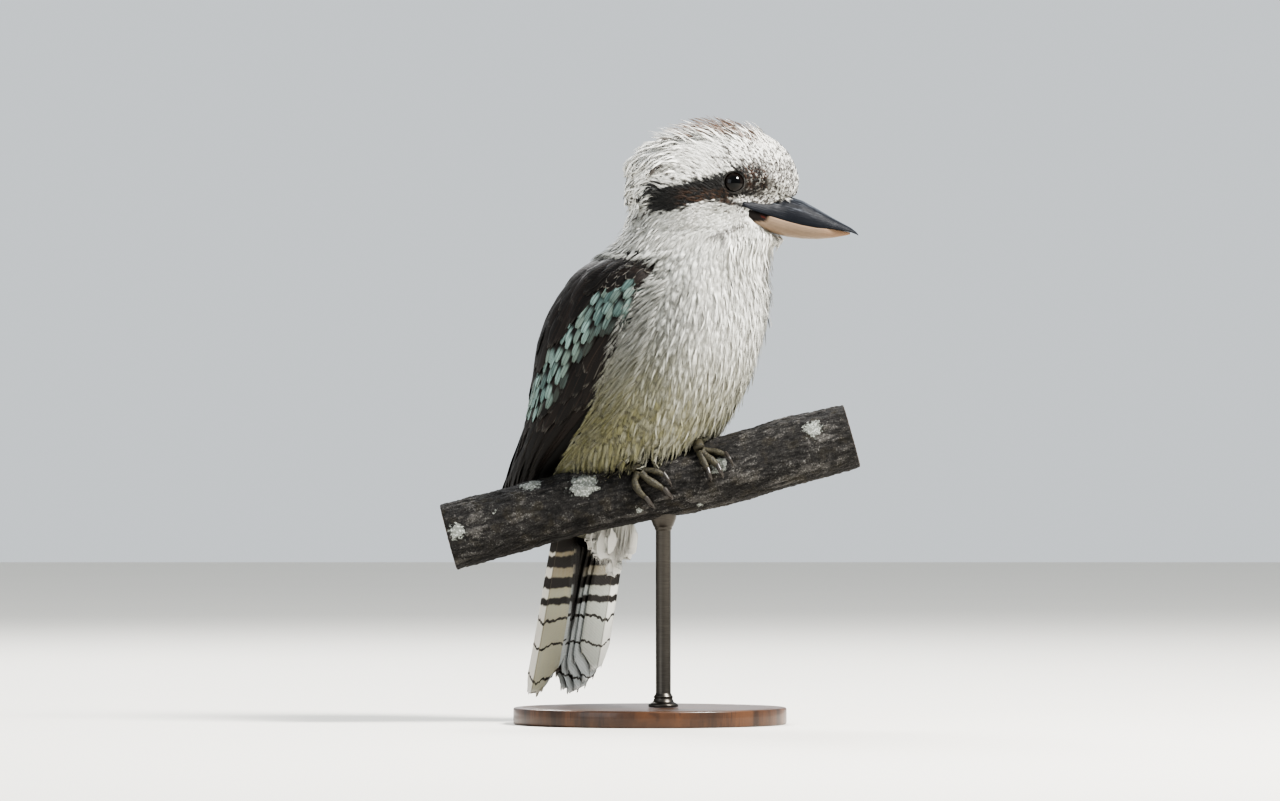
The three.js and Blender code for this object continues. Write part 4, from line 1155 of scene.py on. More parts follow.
def makeWing(bed, side, plumage):
    random = np.random.default_rng(31 + side)
    word = sideWords[side]
    rows = round(wingSizes["bedRows"] * len(bed["places"]))
    columns = bed["places"].shape[1]
    places, normals = (bed[key][:rows].reshape(-1, 3) for key in ("places", "normals"))
    points = places - 1.0 * normals
    deep = np.repeat(np.linspace(*wingSizes["bedThick"], rows), columns)[:, None]
    inner = places - deep * normals
    corner = np.arange((rows - 1) * columns).reshape(rows - 1, columns)[:, :-1].ravel()
    faces = np.stack([corner, corner + columns, corner + columns + 1, corner + 1], 1)
    size = rows * columns
    rim = np.concatenate([
        np.arange(columns), np.arange(1, rows) * columns + columns - 1,
        (rows - 1) * columns + np.arange(columns - 2, -1, -1), np.arange(rows - 2, 0, -1) * columns,
    ])
    after = np.roll(rim, -1)
    walls = np.stack([rim, after, after + size, rim + size], 1)
    faces = np.concatenate([faces, faces[:, ::-1] + size, walls[:, ::-1]])
    points = np.concatenate([points, inner])
    if side > 0:
        points = mirrored(points)
    piece = newPiece("wing_bed_" + word, points, faces)
    turnOutward(piece)
    setEven(piece, along=0, across=0.5, tint=0, blue=0, edge=0)
    dress(piece, plumage, "wing_plumage", "wing_" + word)
    total = 0
    for block in wingBlocks:
        made = layBlock(bed, block, side, random)
        dress(made, plumage, "wing_plumage")
        total += len(made.data.polygons)
    print("wing", word, total, "faces")
    return piece


backSizes = {"gap": 4.2, "from": 112, "length": 19, "longer": 9, "half": 5.4}
flankSizes = {
    "gap": 1.6, "from": 140, "to": 268, "over": (-0.14, 0.05), "length": 14, "half": 0.85, "clear": 4.0,
}


def makeMantle(skin, tree, plumage):  # dark back and rump between the wings
    random = np.random.default_rng(17)

    def wanted(points):
        return mantle(points) & (points[:, 2] > backSizes["from"])
    roots = scatter(skin, backSizes["gap"], wanted, 9)
    count = len(roots)
    low = 1 - blendUp(roots[:, 2], 140, 190)
    length = (backSizes["length"] + backSizes["longer"] * low) * random.uniform(0.85, 1.15, count)
    path, facing = layOn(tree, roots, length, 4, random, 0.06)
    tip = random.uniform(2.6, 4.4, count) + 4.5 * (1 - blendUp(roots[:, 2], 128, 165))
    half = backSizes["half"] * random.uniform(0.85, 1.15, count)
    piece = layPlumes("mantle", "covert", path, facing, half, (-0.4, 1.4 + 0.4 * tip, tip), 0.2)
    setEach(piece, "covert", tint=random.random(count), edge=0.25 * random.random(count))
    setEven(piece, blue=0)
    bakeMap(piece, "covert", unwrapped(path[:, 0]))
    dress(piece, plumage, "wing_plumage")
    print("mantle", count, "feathers")


def makeFlank(skin, bedPiece, side, plumage):  # soft feathers that lap over the wing's front edge
    random = np.random.default_rng(23 + side)

    def wanted(points):
        mine = np.sign(inBird(points)[:, 1]) == side
        mine = mine & between(wingShare(points), *flankSizes["over"])
        return mine & between(points[:, 2], flankSizes["from"], flankSizes["to"])
    roots = scatter(skin, flankSizes["gap"], wanted, 41)
    count = len(roots)
    length = flankSizes["length"] * random.uniform(0.7, 1.25, count)
    aim = unit(hanging + birdWay(-1, 0, 0) * random.uniform(0.5, 1.1, (count, 1)))
    path, facing = follow(treeOf(skin, bedPiece), roots, length, 3,
                          lambda spots, normals: flatTo(aim, normals), flankSizes["clear"])
    tip = random.uniform(3.2, 5.6, count)
    half = flankSizes["half"] * random.uniform(0.8, 1.2, count)
    roll = random.normal(0, 0.25, count)
    crook = random.normal(0, 1.0, count)
    name = "coat_flank_" + sideWords[side]
    piece = layPlumes(name, "tuft", path, facing, half, (-0.4, 3.2, tip), 0.25, roll, crook)
    finishCoat(piece, "tuft", path, random, plumage, "breast_plumage", bars=0.2)


# Tail: pairs count from the middle pair, on top, to the outer pair, lowest

tailSizes = {
    "ahead": -63.5, "height": 130, "lean": 11.5, "pairs": 6, "length": 118, "half": 12.4, "pitch": 3.35,
    "spread": 0.12, "core": 9, "coreSide": -1.2, "coreEnd": 0.74, "skew": 0.095, "vane": 0.3,
    "splay": 0.4, "step": 1.2, "sink": 3.4, "forward": {-1: 0, 1: 0.6}, "bend": 2.5,
    "shorter": {-1: [14, 13, 10.5, 7, 2.5, 0], 1: [10, 2, 0, 2.5, 8, 15]},
}


def makeTail(plumage):
    random = np.random.default_rng(47)
    lean = rad(tailSizes["lean"])
    down = birdWay(-math.sin(lean), 0, -math.cos(lean))
    belly = birdWay(math.cos(lean), 0, -math.sin(lean))
    across = birdWay(0, 1, 0)
    share = np.linspace(0, 1, 8)[:, None]
    pairs = np.arange(tailSizes["pairs"])
    outer = pairs == pairs[-1]
    for side, word in sideWords.items():
        paths, lengths = [], []
        for pair in pairs:
            turn = side * rad(tailSizes["splay"] + tailSizes["spread"] * pair)
            run = down * math.cos(turn) + across * math.sin(turn)
            left = side * tailSizes["pitch"] * (pair + 0.5)
            root = fromBird(np.array([tailSizes["ahead"], left, tailSizes["height"]]))
            forward = tailSizes["step"] * pair - tailSizes["sink"] + tailSizes["forward"][side]
            root = root + belly * forward
            length = tailSizes["length"] - tailSizes["shorter"][side][pair]
            paths.append(root + run * share * length - belly * tailSizes["bend"] * share ** 2)
            lengths.append(length)
        path = np.stack(paths)
        facing = np.broadcast_to(belly, path.shape)
        skew = side * tailSizes["skew"] * pairs
        half = tailSizes["half"]
        piece = layPlumes("tail_" + word, "rectrix", path, facing, half, (0, 0.2, 0), -0.06, skew=skew)
        points = pointsOf(piece)
        flat, alongVane = (np.tile(cut["rectrix"][key], len(pairs)) for key in ("across", "along"))
        shaft = spread(skew, "rectrix")
        away = (flat - shaft * flat ** 2) / (1 - shaft * np.sign(flat))
        long = spread(lengths, "rectrix")
        short = patterns["rectrix"]["round"] * (away ** 2 - flat ** 2) * long
        short *= alongVane ** 8
        movePoints(piece, points - short[:, None] * down)
        middle = np.abs(inBird(points)[:, 1] - tailSizes["coreSide"])
        along = long / tailSizes["length"] * alongVane
        number = spread(pairs, "rectrix")
        width = tailSizes["core"] * np.clip(1 - along / tailSizes["coreEnd"], 0, 1)
        core = (number < pairs[-1]) * (1 - blendUp(middle - width, -0.6, 0.6)) * (width > 0.2)
        setValues(piece, "reach", along)
        setValues(piece, "core", core)
        setValues(piece, "outer", side * flat)
        warm = np.where(outer, 1.0 if side < 0 else 0.4, 0.0)
        setEach(piece, "rectrix", top=pairs < 2, warm=warm, rim=outer, tint=random.random(len(pairs)))
        bakeMap(piece, "rectrix", *atlas(len(pairs)))
        applyModifier(piece, "SOLIDIFY", thickness=tailSizes["vane"] * mm, offset=0)
        dress(piece, plumage, "tail_plumage", *(["tail"] if side < 0 else []))
        print("tail", word, len(piece.data.polygons))


tuftSizes = {"left": 3, "ahead": -43, "height": 130, "swell": 3.2, "sunk": 3.6, "gather": 0.7, "fan": 0.36}
tuftRows = [  # count, width across the row, length, place ahead of the tuft's middle
    {"count": 84, "width": 25, "length": 36, "ahead": -7},
    {"count": 84, "width": 24, "length": 40, "ahead": -4},
    {"count": 84, "width": 22, "length": 43, "ahead": -1},
    {"count": 78, "width": 20, "length": 44, "ahead": 2},
    {"count": 64, "width": 16, "length": 41, "ahead": 5},
    {"count": 48, "width": 11, "length": 35, "ahead": 7.5},
]


def makeTuft(plumage):
    random = np.random.default_rng(61)
    core = fused("tuft_core", ["under_tail_tuft"], 1.3, 16, 0.3)
    movePoints(core, pointsOf(core) - tuftSizes["sunk"] * normalsOf(core))
    smoothShade(core)
    paths, facings, halves = [], [], []
    steps = np.linspace(0, 1, 6)[:, None]
    for row in tuftRows:
        for i in range(row["count"]):
            place = (i + random.uniform(-0.3, 0.3)) / (row["count"] - 1) - 0.5
            sideways = tuftSizes["fan"] * place + random.normal(0, 0.03)
            run = birdWay(0.008 * row["ahead"] - 0.1, sideways, -1)
            side = birdWay(-0.5 * place, 1, 0)
            ahead = tuftSizes["ahead"] + tuftSizes["gather"] * row["ahead"]
            left = tuftSizes["left"] + tuftSizes["gather"] * place * row["width"]
            root = fromBird(np.array([ahead, left, tuftSizes["height"]]))
            outward = birdWay(row["ahead"] + 0.01, 8 * place, 0)
            length = row["length"] * (1 - 0.45 * abs(place)) * random.uniform(0.8, 1.05)
            swell = tuftSizes["swell"] * np.sin(math.pi * np.minimum(1.1 * steps, 1))
            paths.append(root + run * steps * length + outward * swell)
            facings.append(np.broadcast_to(np.cross(side, run), paths[-1].shape))
            halves.append(random.uniform(0.5, 0.95))
    count = len(paths)
    roll = random.normal(0, 0.25, count)
    crook = random.normal(0, 1.2, count)
    path = np.stack(paths)
    facing = np.stack(facings)
    piece = layPlumes("under_tail_plumes", "loose", path, facing, halves, (0, 0.6, 0), 0.3, roll, crook)
    setEach(piece, "loose", tint=random.random(count))
    bakeMap(piece, "loose", unwrapped(path[:, 0]))
    for made in (core, piece):
        setEven(made, stripe=0, speck=0, rufous=0, dusk=0.3, olive=0, scallop=0, flank=0)
    setEven(core, along=0.6, across=0, tint=0.4)
    dress(core, plumage, "white_plumage", "under_tail_tuft")
    dress(piece, plumage, "white_plumage")
    print("tuft", count, "plumes")


# Sleeves: a cylinder cut into rings, then shaped ring by ring

def sleeve(name, sides, rings):  # returns the piece, the angle and the share of the length of each point
    clearChoice()
    bpy.ops.mesh.primitive_cylinder_add(vertices=sides, radius=1, depth=1, end_fill_type="TRIFAN")
    piece = named(name)

    def upright(edge):
        first, second = (piece.data.vertices[k].co for k in edge.vertices)
        return abs(first.z - second.z) > 0.9
    pick(piece, "edges", "EDGE", upright)
    bpy.ops.mesh.subdivide(number_cuts=rings - 2)
    bpy.ops.object.mode_set(mode="OBJECT")
    flat = np.array([tuple(v.co) for v in piece.data.vertices])
    radius = np.hypot(flat[:, 0], flat[:, 1])
    return piece, np.arctan2(flat[:, 1], flat[:, 0]), flat[:, 2] + 0.5, radius


def alongLine(line, share):  # smooth place on one line of points
    return alongPath(np.asarray(line, float)[None], share)[0]


def shapeLimb(name, line, radii, sides, rings, up, ripple=None):
    piece, angle, share, reach = sleeve(name, sides, rings)
    middle = alongLine(line, share)
    ahead = unit(alongLine(line, share + 0.02) - alongLine(line, share - 0.02))
    side = unit(np.cross(ahead, np.broadcast_to(up, ahead.shape)))
    top = np.cross(side, ahead)
    radius = alongLine(np.stack([radii, radii, radii], -1), share)[:, 0]
    if ripple is not None:
        radius = radius * (1 + ripple(share, angle))
    out = side * np.cos(angle)[:, None] + top * np.sin(angle)[:, None]
    movePoints(piece, middle + (radius * reach)[:, None] * out)
    turnOutward(piece)
    setValues(piece, "along", share)
    setValues(piece, "round", angle)
    smoothShade(piece)
    return piece


# Bill: stations from inside the face to the tip

bill = {
    "x": [52, 55, 58, 62, 66, 72, 82, 91, 100, 109, 116, 120, 123, 124.4],
    "culmen": [
        318.4, 318.3, 318.1, 317.9, 317.7, 317.2, 316.2, 313.6, 308.6, 303.2, 299.4, 297.2, 294.8, 293.0,
    ],
    "mouth": [
        311.6, 310.8, 309.4, 307.6, 306.3, 304.4, 301.3, 298.9, 297.2, 296.5, 295.2, 294.4, 293.2, 292.4,
    ],
    "keel": [
        299.2, 299.2, 299.0, 297.8, 296.4, 294.4, 291.8, 290.7, 290.4, 291.2, 292.4, 293.3, 293.6, 293.6,
    ],
    "half": [19, 22.2, 22.8, 20.6, 18.2, 15.2, 12.2, 10.8, 9.2, 7.2, 5.2, 3.6, 2.0, 0.8],
    "lowerEnd": 119.4, "gap": 0.22, "lowerTaper": (104, 119), "lowerThin": 0.6, "crowd": 1.35,
    "nostril": (79, 311.4), "nostrilSize": (3.4, 1.0), "nostrilDepth": 1.3,
    "gapeEnd": 71, "gapeSlant": 0.45, "gapeHeight": 300.8, "gapeSink": 0.09, "gapeEdge": (-1.8, 0.6),
    "gapeRise": (-0.5, 0.4), "redSpot": (68.6, 303.6), "redSize": (1.9, 1.0),
}


def billFrame(x, across, height):
    turn = rad(bird["headHeading"])
    ahead = (x - bird["headMiddle"][0]) / math.cos(turn)
    return fromHead(np.stack([ahead, across, height], -1))


def makeBill(upper, material, slot):  # returns the piece
    name = "bill_top" if upper else "bill_bottom"
    piece, angle, share, reach = sleeve(name, 56, 90)
    first = bill["x"][0]
    last = bill["x"][-1] if upper else bill["lowerEnd"]
    x = first + (last - first) * (1 - (1 - share) ** bill["crowd"])
    at = {key: np.interp(x, bill["x"], bill[key]) for key in ("culmen", "mouth", "keel", "half")}
    edge = at["mouth"] + (bill["gap"] if upper else -bill["gap"])
    far = at["culmen"] if upper else at["keel"]
    taper = 1 if upper else 1 - bill["lowerThin"] * blendUp(x, *bill["lowerTaper"])
    sine = np.sin(angle)
    cosine = np.cos(angle)
    rise = np.maximum(sine, 0) ** (0.95 if upper else 0.8)
    dip = 0.06 * np.minimum(sine, 0)
    bulge = np.sign(cosine) * np.abs(cosine) ** np.where(sine > 0, 0.78, 1.0)
    across = bulge * at["half"] * taper * reach
    height = edge + (far - edge) * (rise + dip) * reach
    gape = np.zeros(len(x))
    if not upper:  # dark skin at the corner of the mouth, between the two halves
        end = bill["gapeEnd"] + bill["gapeSlant"] * (height - bill["gapeHeight"])
        gape = 1 - blendUp(x - end, *bill["gapeEdge"])
        gape = gape * blendUp(height - bill["gapeHeight"], *bill["gapeRise"])
        across = across * (1 - bill["gapeSink"] * gape)
    points = billFrame(x, across, height)
    if upper:
        off = np.abs(x - bill["nostril"][0] + 0.9 * (height - bill["nostril"][1])) / bill["nostrilSize"][0]
        tall = np.abs(height - bill["nostril"][1] - 0.32 * (x - bill["nostril"][0])) / bill["nostrilSize"][1]
        pit = np.clip(1 - np.hypot(off, tall), 0, 1) ** 0.5 * (np.abs(across) > 4)
        points = billFrame(x, across - np.sign(across) * bill["nostrilDepth"] * pit, height)
    movePoints(piece, points)
    applyModifier(piece, "SMOOTH", factor=0.5, iterations=3)
    turnOutward(piece)
    smoothShade(piece, 50)
    depth = (height - edge) / (far - edge)
    setValues(piece, "depth", np.clip(depth, 0, 1))
    setValues(piece, "reach", (x - first) / (bill["x"][-1] - first))
    setValues(piece, "wide", across / np.maximum(at["half"], 0.5))
    setValues(piece, "gape", gape)
    (redX, redHeight), (wide, tall) = bill["redSpot"], bill["redSize"]
    red = np.hypot((x - redX) / wide, (height - redHeight) / tall)
    setValues(piece, "red", 1 - blendUp(red, 0.5, 1.1))
    return dress(piece, material, slot, "bill_upper" if upper else "bill_lower")


# Bristles: short stiff feathers that lean forward over the base of the bill

bristleRows = [  # first and last place ahead, height there, how far they reach and how many on each side
    {"ahead": (44, 61), "height": (315, 318.5), "length": 6.5, "count": 60},
    {"ahead": (33, 52), "height": (314.5, 316), "length": 4.5, "count": 60},
    {"ahead": (26, 33), "height": (309.5, 306.5), "length": 4.0, "count": 26},
]


bristleSizes = {"aside": 16, "narrow": 0.28, "from": 30, "half": 0.55}


def makeBristles(tree, plumage):
    random = np.random.default_rng(83)
    start = fromHead(np.zeros(3))
    roots, aims, lengths = [], [], []
    for row in bristleRows:
        for side in (-1, 1):
            share = random.random(row["count"])
            ahead = row["ahead"][0] + (row["ahead"][1] - row["ahead"][0]) * share
            height = row["height"][0] + (row["height"][1] - row["height"][0]) * share
            aside = bristleSizes["aside"] - bristleSizes["narrow"] * (ahead - bristleSizes["from"])
            aside = side * aside * random.uniform(0.35, 1.0, row["count"])
            roots.append(fromHead(np.stack([ahead, aside, height], -1)))
            down = -0.75 - 0.2 * random.random(row["count"])
            aim = np.stack([np.ones_like(down), 0.15 * side * np.ones_like(down), down], -1)
            aims.append(fromHead(aim) - start)
            lengths.append(row["length"] * random.uniform(0.7, 1.3, row["count"]))
    aim = np.concatenate(aims)
    path, facing = follow(tree, np.concatenate(roots), np.concatenate(lengths), 3,
                          lambda spots, normals: flatTo(aim, normals))
    count = len(path)
    tip = random.uniform(0.5, 1.3, count)
    half = bristleSizes["half"] * random.uniform(0.8, 1.3, count)
    piece = layPlumes("bristles", "short", path, facing, half, (-0.2, 0.5 + 0.4 * tip, tip), 0.2)
    finishCoat(piece, "short", path, random, plumage, "white_plumage")


# Eyes and lids

eyeSizes = {
    "iris": 5.7, "pupil": 3.5, "cornea": 0.5, "lid": 6.5, "lidThick": 0.75, "lidForward": 4.2,
    "beads": 46, "bead": 0.16, "fold": 0.14, "slope": 0.7, "inward": 0.1,
}


def makeEye(word, material, lidMaterial):
    eye = eyes[word]
    turn = eye["gaze"].to_track_quat("Z", "Y").to_euler()
    clearChoice()
    bpy.ops.mesh.primitive_uv_sphere_add(segments=72, ring_count=48, radius=eye["radius"] * mm,
                                         location=eye["centre"] * mm, rotation=turn)
    ball = named("eyeball_" + word)
    settled(ball)
    smoothShade(ball)
    off, depth, aside = fromEye(eye, pointsOf(ball))
    gaze = np.array(eye["gaze"])
    dome = np.clip(1 - (aside / eyeSizes["iris"]) ** 2, 0, 1) * (depth > 0)
    movePoints(ball, np.array(eye["centre"]) + off + eyeSizes["cornea"] * dome[:, None] * gaze)
    setValues(ball, "aside", np.where(depth > 0, aside, eye["radius"]))
    dress(ball, material, "eye", eye["node"])
    clearChoice()
    place = eye["centre"] + eye["gaze"] * eyeSizes["lidForward"]
    bpy.ops.mesh.primitive_torus_add(
        major_radius=eyeSizes["lid"] * mm, minor_radius=eyeSizes["lidThick"] * mm,
        major_segments=138, minor_segments=14, location=place * mm, rotation=turn)
    lid = named("eyelid_" + word)
    settled(lid)
    off = pointsOf(lid) - np.array(place)
    depth = off @ gaze
    flat = off - depth[:, None] * gaze
    side = unit(np.cross(gaze, [0, 0, 1]))
    angle = np.arctan2(flat @ np.cross(side, gaze), flat @ side)
    ring = unit(flat)
    bead = eyeSizes["bead"] * np.sin(eyeSizes["beads"] * angle)
    fold = eyeSizes["fold"] * np.abs(np.sin(2 * angle))
    slope = np.maximum(np.linalg.norm(flat, axis=1) - eyeSizes["lid"], 0)
    moved = off + normalsOf(lid) * (bead + fold)[:, None] - gaze * (eyeSizes["slope"] * slope)[:, None]
    moved = moved - ring * eyeSizes["inward"]
    movePoints(lid, np.array(place) + moved)
    smoothShade(lid)
    dress(lid, lidMaterial, "eye")


# Feet: a toe is a row of stops round the perch, in millimetres along it and degrees round it

footSizes = {
    "radius": 2.1, "seat": 0.3, "scutes": 12, "scute": 0.11, "pad": 0.16, "ankle": 1.2,
    "toe": [1.1, 0.95, 1.06, 0.84, 0.5],  # share of the radius along a toe
    "claw": [1.5, 1.3, 0.85, 0.12], "shin": [3.5, 2.9, 2.8, 3.2],  # radii from root to end
    "hook": [(-1, -5, 0.3), (1, 7, 1.5), (2, 14, 0.8), (2.6, 20, -1.7)],  # drift, degrees on, height
}
feet = {
    "right": {
        "ball": (-5, 62), "shin": [[-15, -7, 163], [-21, 1, 178]],
        "toes": [
            {"stops": [[0, 0], [-3.2, 13], [-2, 30], [2.2, 46]], "thick": 1},
            {"stops": [[1.5, 1], [4.5, 14], [9.5, 27], [14, 38]], "thick": 1.05},
            {"stops": [[3, -3], [8, 2], [12, 8], [15.5, 15]], "thick": 0.85},
            {"stops": [[-1, -4], [-5, -24], [-8, -44], [-9, -62]], "thick": 0.95},
        ],
    },
    "left": {
        "ball": (33.5, 50), "shin": [[27, -2, 174], [22, 9, 187]],
        "toes": [
            {"stops": [[0, 0], [0.5, 12], [1.5, 24], [2.5, 34]], "thick": 1},
            {"stops": [[1, 1], [4, 12], [7, 23], [9, 32]], "thick": 1.05},
            {"stops": [[2, -3], [8, 3], [12, 9], [15.5, 16]], "thick": 0.85},
            {"stops": [[1, -4], [1, -24], [0, -42], [0, -58]], "thick": 0.95},
        ],
    },
}
perch = {  # the branch's middle line, its slope and half thickness
    "x": [-121, -60, 0, 50, 121], "z": [112.2, 128.4, 142.0, 153.2, 173.0],
    "slope": 12.4, "start": 0.15, "radius": 20,
}


def perchMiddle(x):
    return np.stack([x, np.zeros_like(x), np.interp(x, perch["x"], perch["z"])], -1)


def makeFoot(word, tree, skinFinish, hornFinish):
    foot = feet[word]
    slope = rad(perch["slope"])
    up = Vector((-math.sin(slope), 0, math.cos(slope)))
    seat = footSizes["radius"] + footSizes["seat"]

    def onBark(along, round, clear):
        x = perch["start"] + (foot["ball"][0] + along) * math.cos(slope)
        middle = Vector(perchMiddle(np.array(x)))
        angle = rad(foot["ball"][1] + round)
        out = up * math.cos(angle) + Vector((0, -math.sin(angle), 0))
        hit = tree.ray_cast(middle + out * 60, -out)[0]
        return np.array(hit + out * clear)

    def scutes(share, angle):  # rings of scales over the top, pads below
        top = blendUp(np.sin(angle), -0.2, 0.4)
        ring = (share * footSizes["scutes"]) % 1
        pad = np.sin(share * 3 * math.pi) ** 2
        return footSizes["scute"] * top * (ring ** 0.5 - 0.5) + footSizes["pad"] * (1 - top) * (pad - 0.4)
    toes = []
    claws = []
    for k, toe in enumerate(foot["toes"]):
        line = np.array([onBark(along, round, seat) for along, round in toe["stops"]])
        radii = np.array(footSizes["toe"]) * footSizes["radius"] * toe["thick"]
        outward = unit(line[1] - perchMiddle(np.array(line[1][0])))
        toes.append(shapeLimb(f"toe{k}", line, radii, 18, 56, outward, scutes))
        (nearAlong, nearRound), (endAlong, endRound) = toe["stops"][2:]
        step = math.copysign(1, endRound - nearRound)
        drift = (endAlong - nearAlong) * 0.25
        line = np.array([
            onBark(endAlong + along * drift, endRound + degrees * step, seat + clear)
            for along, degrees, clear in footSizes["hook"]
        ])
        radii = np.array(footSizes["claw"]) * toe["thick"]
        claws.append(shapeLimb(f"claw{k}", line, radii, 12, 20, outward))
    ankle = onBark(0, -4, seat + footSizes["ankle"])
    bend = (ankle + np.array(foot["shin"][0])) / 2 + [0.4, -0.5, 0]
    line = np.array([ankle, bend, *foot["shin"]])
    front = np.array([1.0, -1.0, 0])
    toes.append(shapeLimb("shin", line, np.array(footSizes["shin"]), 20, 44, front, scutes))
    dress(merged("foot_" + word, toes), skinFinish, "foot_skin", "leg_" + word)
    dress(merged("claws_" + word, claws), hornFinish, "claw_horn")


# Perch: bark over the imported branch, with lichen at named pixels of the photograph

barkSizes = {"voxel": 0.8, "ridge": 0.85, "fine": 0.35, "lichen": 0.3, "sawn": 0.15, "endFrom": 108}
barkNoises = {  # shortening along the perch, size in millimetres and seed
    "ridge": (0.33, 5.0, 1), "crack": (0.25, 3.4, 2), "lump": (1, 17, 3), "grain": (1, 1.9, 4),
    "flake": (0.6, 2.6, 6),
}
lichens = [  # pixel, radius in millimetres, how much it covers
    {"at": (583, 484), "size": 11, "cover": 1.0}, {"at": (530, 484), "size": 9, "cover": 0.9},
    {"at": (458, 530), "size": 6.5, "cover": 0.9}, {"at": (718, 465), "size": 6, "cover": 1.0},
    {"at": (640, 510), "size": 3, "cover": 0.8}, {"at": (700, 505), "size": 3, "cover": 0.7},
    {"at": (812, 428), "size": 8, "cover": 0.8}, {"at": (496, 512), "size": 3, "cover": 0.6},
]
barkBack = [(-80, 12), (-20, 9), (45, 13), (90, 8)]  # place along the perch and size of patches behind


def makePerch(material):
    piece = fused("bark", ["perch"], barkSizes["voxel"], 3, 0.1)
    points = pointsOf(piece)
    normals = normalsOf(piece)
    middle = perchMiddle(points[:, 0])
    off = points - middle
    angle = np.arctan2(-off[:, 1], off[:, 2])
    slope = rad(perch["slope"])
    radius = perch["radius"]
    along = points[:, 0] / math.cos(slope)
    end = blendUp(np.abs(normals @ np.array([math.cos(slope), 0, math.sin(slope)])), 0.75, 0.9)
    end = end * (np.abs(points[:, 0]) > barkSizes["endFrom"])
    flat = np.stack([along, radius * np.cos(angle), radius * np.sin(angle)], -1)
    ridge, crack, lump, grain, flake = (
        wander(flat * [short, 1, 1], size, seed) for short, size, seed in barkNoises.values())
    rough = ridge * 0.45 + lump * 0.6 + (np.abs(crack) ** 0.5 - 0.5) * 1.1 + flake * 0.5
    cover = np.zeros(len(points))
    spots = []
    for patch in lichens:
        x, z = fromPixel(*patch["at"])
        front = -np.sqrt(np.maximum(radius ** 2 - (z - np.interp(x, perch["x"], perch["z"])) ** 2, 0))
        spots.append((np.array([x, front, z]), patch["size"], patch["cover"], 1 + 0.3 * grain + 0.4 * ridge))
    for place, size in barkBack:
        spot = np.array([place, 17.0, np.interp(place, perch["x"], perch["z"]) + 8])
        spots.append((spot, size, 0.8, 1 + 0.35 * grain + 0.3 * ridge))
    for spot, size, most, ragged in spots:
        distance = np.linalg.norm(points - spot, axis=1) * ragged
        cover = np.maximum(cover, most * (1 - blendUp(distance, 0.2 * size, 1.3 * size)))
    height = barkSizes["ridge"] * rough + barkSizes["fine"] * grain + barkSizes["lichen"] * cover
    height = height * (1 - end) + end * barkSizes["sawn"] * grain
    movePoints(piece, points + normals * height[:, None])
    setValues(piece, "lichen", cover)
    setValues(piece, "cutEnd", end)
    setValues(piece, "rough", np.clip(0.5 + 0.5 * rough, 0, 1))
    setValues(piece, "alongPerch", along * mm)
    setValues(piece, "roundPerch", angle * radius * mm)
    setValues(piece, "ringPlace", np.hypot(off[:, 1], off[:, 2]) / radius)
    smoothShade(piece)
    dress(piece, material, "bark", "perch")
    print("bark", len(piece.data.polygons))


# Stand: a turned wooden base and a rod with a collar under the perch

stand = {
    "radius": 82, "thick": 10, "bevel": 2.2, "rodX": 8,
    "insets": [(6, 0), (0.9, -0.8), (0.9, 0.8), (20, 0)],  # width and depth of each step of the groove
}
rodProfile = [  # height and radius of the turned rod
    (10.35, 9.0), (11.6, 9.0), (12.4, 8.2), (13.2, 6.4), (15.5, 5.4), (16.2, 5.9), (17.0, 5.4), (18.4, 4.5),
    (60, 4.5), (116, 4.5), (117, 5.2), (118, 5.2), (119, 6.0), (123, 7.6), (130, 8.6),
]


def makeStand(wood, metal):
    clearChoice()
    bpy.ops.mesh.primitive_cylinder_add(
        vertices=160, radius=stand["radius"] * mm, depth=stand["thick"] * mm,
        location=(0, 0, stand["thick"] / 2 * mm))
    base = named("base")
    settled(base)
    pick(base, "polygons", "FACE", lambda face: face.normal.z > 0.9)
    for width, depth in stand["insets"]:
        bpy.ops.mesh.inset(thickness=width * mm, depth=depth * mm)
    bpy.ops.object.mode_set(mode="OBJECT")
    rounded = {"segments": 4, "limit_method": "ANGLE", "angle_limit": rad(60)}
    applyModifier(base, "BEVEL", width=stand["bevel"] * mm, **rounded)
    smoothShade(base, 30)
    dress(base, wood, "base_wood", "stand_base")
    piece, angle, share, reach = sleeve("rod", 64, len(rodProfile))
    ring = np.round(share * (len(rodProfile) - 1)).astype(int)
    height, radius = np.array(rodProfile)[ring].T
    out = radius * reach
    movePoints(piece, np.stack([stand["rodX"] + out * np.cos(angle), out * np.sin(angle), height], -1))
    applyModifier(piece, "BEVEL", width=0.3 * mm, segments=2, limit_method="ANGLE", angle_limit=rad(25))
    smoothShade(piece, 35)
    dress(piece, metal, "rod_metal", "stand_rod")


# Materials

